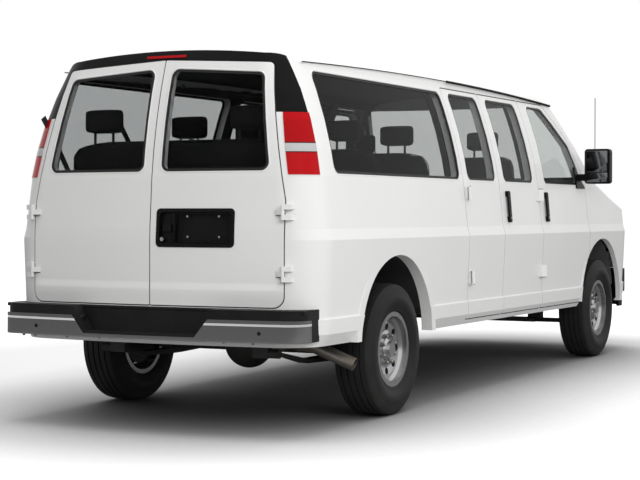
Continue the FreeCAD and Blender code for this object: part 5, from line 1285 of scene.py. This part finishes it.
@dataclass
class SeatRow:
    """A seat or a bench: its cushion, its leaning back, its headrests and its steel legs."""

    name: str
    node: str
    x: float
    y: float
    width: float
    places: int
    heads: tuple[float, ...]
    floor: float = 0.690
    top: float = 1.010
    depth: float = 0.430
    thick: float = 0.105
    tall: float = 0.590
    back: float = 0.105
    lean: float = 0.090
    head_size: tuple[float, float, float] = (0.105, 0.250, 0.150)
    head_gap: float = 0.040
    inset: float = 0.004
    channel_half: float = 0.42
    piping_radius: float = 0.0035
    piping_sides: int = 6
    leg_margin: float = 0.09
    stem_spots: tuple[float, float] = (-0.0625, 0.0625)
    stem_radius: float = 0.008

    def channels(self) -> tuple[float, ...]:
        """Gives the places of the sewn channels across the seat, from -1 to 1."""
        found = [2 * index / self.places - 1 for index in range(1, self.places)]
        for index in range(self.places):
            middle = 2 * (index + 0.5) / self.places - 1
            found += [middle - self.channel_half / self.places, middle + self.channel_half / self.places]
        return tuple(sorted(found))

    def pads(self) -> list[tuple[Pad, Matrix]]:
        """Gives every stuffed pad with its place on the level vehicle."""
        inset, sewn = self.inset, self.channels()
        seat = Pad((self.depth - 2 * inset, self.width - 2 * inset, self.thick - inset), sewn)
        seat_place = Matrix.Translation((self.x + self.depth / 2, self.y, self.top - self.thick / 2))
        length = math.hypot(self.tall, self.lean) - 0.02
        back = Pad((length, self.width - 2 * inset, self.back - 2 * inset), sewn)
        middle = Vector((self.x - self.lean / 2 + self.back / 2, self.y, self.top + self.tall / 2 + 0.01))
        tilt = Matrix.Rotation(-math.atan2(self.lean, self.tall), 4, "Y")
        turn = Matrix(((0, 0, 1), (0, -1, 0), (1, 0, 0))).to_4x4()
        found = [(seat, seat_place), (back, Matrix.Translation(middle) @ tilt @ turn)]
        thick, wide, tall = self.head_size
        head = Pad((tall - 2 * inset, wide - 2 * inset, thick - 2 * inset), (), 0.22, 7, voxel=0.008)
        rise = self.top + self.tall + self.head_gap + tall / 2
        for spot in self.heads:
            place = Matrix.Translation((self.x - self.lean + thick / 2, self.y + spot, rise))
            found.append((head, place @ turn))
        return found

    def make_pads(self, pads: Shape, piping: Shape) -> None:
        """Adds the pads and the piping on their seams.

        Args:
            pads: The shape that takes the pads.
            piping: The shape that takes the piping.
        """
        turns = [index * math.tau / self.piping_sides for index in range(self.piping_sides)]
        ring = [(self.piping_radius * math.cos(turn), self.piping_radius * math.sin(turn)) for turn in turns]
        for pad, place in self.pads():
            mesh = pad_mesh(pad).copy()
            mesh.transform(place)
            pads.mesh.from_mesh(mesh)
            bpy.data.meshes.remove(mesh)
            piping.swept([place @ point for point in pad.rim()], ring, place.to_3x3() @ UP, True)

    def make_frame(self, shape: Shape) -> None:
        """Adds the legs, their runners and the headrests' stems.

        Args:
            shape: The shape that takes them.
        """
        leg_top = self.top - self.thick + 0.01
        for way in (-1, 1):
            y = self.y + way * (self.width / 2 - self.leg_margin)
            for share in (0.1, 0.75):
                x = self.x + self.depth * share
                shape.box((x, y - 0.020, self.floor), (x + 0.040, y + 0.020, leg_top), 0.004)
            x = self.x + self.depth * 0.05
            shape.box((x, y - 0.016, self.floor), (x + self.depth * 0.85, y + 0.016, self.floor + 0.012), 0.003)
        for spot in self.heads:
            for side in self.stem_spots:
                foot = Vector((self.x - self.lean + self.back / 2, self.y + spot + side,
                               self.top + self.tall - 0.04))
                shape.rod(foot, foot + Vector((0, 0, self.head_gap * 3)), self.stem_radius, 14)

    def make(self) -> None:
        """Makes the row's pads, piping and frame, in place of the plain solid."""
        pads, piping, steel = (Shape(f"{self.name}_{part}") for part in ("pads", "piping", "frame"))
        self.make_pads(pads, piping)
        self.make_frame(steel)
        item = pads.rake().finish("vehicle", SEAT_CLOTH, "seat_fabric", 60.0)
        smooth = item.modifiers.new("Smooth", "SUBSURF")
        smooth.levels = smooth.render_levels = 1
        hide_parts(self.node)
        piping.rake().finish("vehicle", PIPING, "seat_fabric", 60.0)
        steel.rake().finish("vehicle", UNDERBODY, "chassis_black", 30.0)


@dataclass
class Seating:
    """The two cab seats, the four benches and the rear benches' shoulder belts."""

    seat_width: float = 0.49
    seat_side: float = 0.5
    seat_ahead: float = 2.640
    bench_width: float = 1.18
    bench_offset: float = 0.05
    last_width: float = 1.46
    bench_ahead: float = 1.560
    pitch: float = 0.790
    belt_gap: float = 0.02

    def rows(self) -> list[SeatRow]:
        """Gives the two cab seats and the four benches."""
        rows = [SeatRow(f"cab_seat_{side}", "cab_seats", REAR_AXLE + self.seat_ahead, way * self.seat_side,
                        self.seat_width, 1, (0.0,)) for side, way in (("left", 1.0), ("right", -1.0))]
        for number in range(4):
            last = number == 3
            width, offset = (self.last_width, 0.0) if last else (self.bench_width, self.bench_offset)
            reach = (width - self.seat_width) / 2
            rows.append(SeatRow(f"bench_{number + 1}", "benches",
                                REAR_AXLE + self.bench_ahead - self.pitch * number, offset, width,
                                4 if last else 3, (-reach, reach)))
        return rows

    def make(self) -> None:
        """Makes every seat and the belts."""
        rows = self.rows()
        for row in rows:
            row.make()
        belts = Shape("shoulder_belts")
        for row in rows[2:]:
            Belt(row.x - self.belt_gap, 1.0).make(belts)
        belts.rake().finish("vehicle", BELT, "seat_fabric", 60.0)


@dataclass
class Belt:
    """A shoulder belt that hangs from the side wall to a bench's corner."""

    x: float
    way: float
    high: float = 1.74
    low: float = 1.06
    wall: float = 0.815
    corner: float = 0.60
    half_width: float = 0.023
    half_thickness: float = 0.001

    def make(self, shape: Shape) -> None:
        """Adds the belt as a flat strap.

        Args:
            shape: The shape that holds the belts.
        """
        wall, corner = self.way * self.wall, self.way * self.corner
        wide, thin = self.half_width, self.half_thickness
        path = [Vector((self.x - 0.16, wall, self.high)),
                Vector((self.x - 0.10, wall - self.way * 0.02, self.high - 0.10)),
                Vector((self.x - 0.04, (wall + corner) / 2, (self.high + self.low) / 2)),
                Vector((self.x, corner, self.low))]
        shape.swept(path, [(-wide, -thin), (wide, -thin), (wide, thin), (-wide, thin)], LEFT * self.way)


# studio

@dataclass(frozen=True)
class Lamp:
    """A soft rectangular lamp that looks at the vehicle's middle."""

    name: str
    place: tuple[float, float, float]
    size: tuple[float, float]
    power: float
    aim: tuple[float, float, float] = (0, 0, 0.9)

    def make(self) -> None:
        """Hangs the lamp."""
        data = bpy.data.lights.new(self.name, "AREA")
        data.shape, data.size, data.size_y, data.energy = "RECTANGLE", *self.size, self.power
        lamp = bpy.data.objects.new(self.name, data)
        turn = (Vector(self.aim) - Vector(self.place)).to_track_quat("-Z", "Y").to_matrix().to_4x4()
        lamp.matrix_world = Matrix.Translation(self.place) @ turn
        lamp.visible_glossy = False
        bpy.context.scene.collection.objects.link(lamp)


@dataclass
class Studio:
    """The pale floor, the soft lamps and the camera of the photograph."""

    lens: float = 92.15
    sensor: float = 36.0
    camera_place: tuple[float, float, float] = (-10.583, -4.960, 1.281)
    yaw: float = 27.108
    pitch: float = -1.500
    roll: float = -0.264
    floor_size: float = 120.0
    floor_seen: float = 0.98
    # Painted shadow: near the vehicle the camera sees the floor darkened by ambient occlusion, down to this
    # colour, over the reach and with the power below.
    floor_painted_shadow: float = 0.06
    # Painted reflection: the floor's colour as metal and paint reflect it, darker than the light it sends to
    # diffuse rays.
    floor_painted_reflection: float = 0.20
    floor_lit: float = 0.42
    painted_shadow_reach: float = 1.6
    painted_shadow_power: float = 1.6
    glow: float = 0.55
    glow_start: float = 3.6
    glow_run: float = 3.0
    surroundings: float = 0.50
    lamps: tuple[Lamp, ...] = (Lamp("overhead", (0, 0, 7.5), (9.0, 5.0), 320.0),
                               Lamp("rear_right", (-7.5, -6.5, 4.0), (5.0, 3.0), 340.0),
                               Lamp("right", (0.5, -9.0, 3.5), (6.0, 2.5), 140.0),
                               Lamp("front_left", (6.0, 7.0, 5.0), (5.0, 3.0), 160.0))

    def make_camera(self) -> None:
        """Sets the camera to the photograph's viewpoint."""
        yaw, pitch, roll = (math.radians(value) for value in (self.yaw, self.pitch, self.roll))
        ahead = Vector((math.cos(pitch) * math.cos(yaw), math.cos(pitch) * math.sin(yaw), math.sin(pitch)))
        right = ahead.cross(UP).normalized()
        up = right.cross(ahead)
        across = math.cos(roll) * right + math.sin(roll) * up
        above = -math.sin(roll) * right + math.cos(roll) * up
        data = bpy.data.cameras.new("photo_view")
        data.lens, data.sensor_width, data.sensor_fit = self.lens, self.sensor, "HORIZONTAL"
        data.clip_end = 500.0
        camera = bpy.data.objects.new("photo_view", data)
        place = Matrix((across, above, -ahead)).transposed().to_4x4()
        camera.matrix_world = Matrix.Translation(self.camera_place) @ place
        bpy.context.scene.collection.objects.link(camera)
        bpy.context.scene.camera = camera

    def make_floor(self) -> None:
        """Lays the plain pale floor: with a painted shadow under the vehicle, where ambient occlusion darkens
        the colour that the camera sees; darker to glossy rays, as a painted reflection in metal and paint; and
        glowing beyond its shadow.
        """
        shape = bmesh.new()
        bmesh.ops.create_grid(shape, x_segments=1, y_segments=1, size=self.floor_size)
        mesh = bpy.data.meshes.new("studio_floor")
        shape.to_mesh(mesh)
        shape.free()
        floor = bpy.data.objects.new("studio_floor", mesh)
        bpy.context.scene.collection.objects.link(floor)
        material, wiring, surface = Surface("studio_floor", (1.0, 1.0, 1.0)).start()
        reach = wiring.node("VectorMath")
        reach.operation = "LENGTH"
        wiring.feed(reach, {0: wiring.place()})
        far = wiring.share(reach.outputs["Value"], self.glow_start, self.glow_run)
        path = wiring.node("LightPath").outputs
        # Painted shadow: ambient occlusion darkens the floor's colour as the camera sees it, under and near the
        # vehicle.
        painted_shadow_occlusion = wiring.node("AmbientOcclusion", Distance=self.painted_shadow_reach).outputs["AO"]
        shown = wiring.mix(wiring.maths("POWER", painted_shadow_occlusion, self.painted_shadow_power), (self.floor_painted_shadow,) * 3,
                           (self.floor_seen,) * 3)
        # Painted reflection: glossy rays see a darker floor than diffuse ones, which darkens its reflection in
        # chrome and paint.
        shade = wiring.mix(path["Is Glossy Ray"], (self.floor_lit,) * 3, (self.floor_painted_reflection,) * 3)
        wiring.feed(surface, {
            "Base Color": wiring.mix(path["Is Camera Ray"], shade, shown), "Roughness": 0.9,
            "Specular IOR Level": 0.1, "Emission Color": (1.0, 1.0, 1.0),
            "Emission Strength": wiring.times(wiring.times(far, self.glow), path["Is Camera Ray"])})
        mesh.materials.append(material)

    def make_light(self) -> None:
        """Hangs the soft lamps and sets the pale surroundings."""
        world = bpy.data.worlds.new("studio")
        world.use_nodes = True
        bpy.context.scene.world = world
        wiring = Wiring(world.node_tree)
        path = wiring.node("LightPath").outputs
        seen = wiring.maths("ADD", path["Is Camera Ray"], path["Is Transmission Ray"])
        shown = wiring.maths("ADD", seen, path["Is Glossy Ray"], True)
        strength = wiring.maths("ADD", self.surroundings, wiring.times(shown, 1.0 - self.surroundings))
        wiring.feed(world.node_tree.nodes["Background"], {"Color": (1.0, 1.0, 1.0), "Strength": strength})
        for lamp in self.lamps:
            lamp.make()

    def make(self) -> None:
        """Makes the whole studio."""
        self.make_camera()
        self.make_floor()
        self.make_light()
        bpy.context.scene.view_settings.view_transform = "Standard"


def main() -> None:
    """Builds the studio and every piece."""
    logging.basicConfig(level=logging.INFO, format="%(name)s: %(message)s")
    Studio().make()
    dress_nodes()
    make_wheels()
    make_windows()
    make_shut_lines()
    Gutter().make()
    RearDetails().make()
    for side, way in (("left", 1.0), ("right", -1.0)):
        DoorMirror(side, way).make()
    make_handle_details()
    make_wipers()
    Seating().make()


if __name__ == "__main__":
    main()
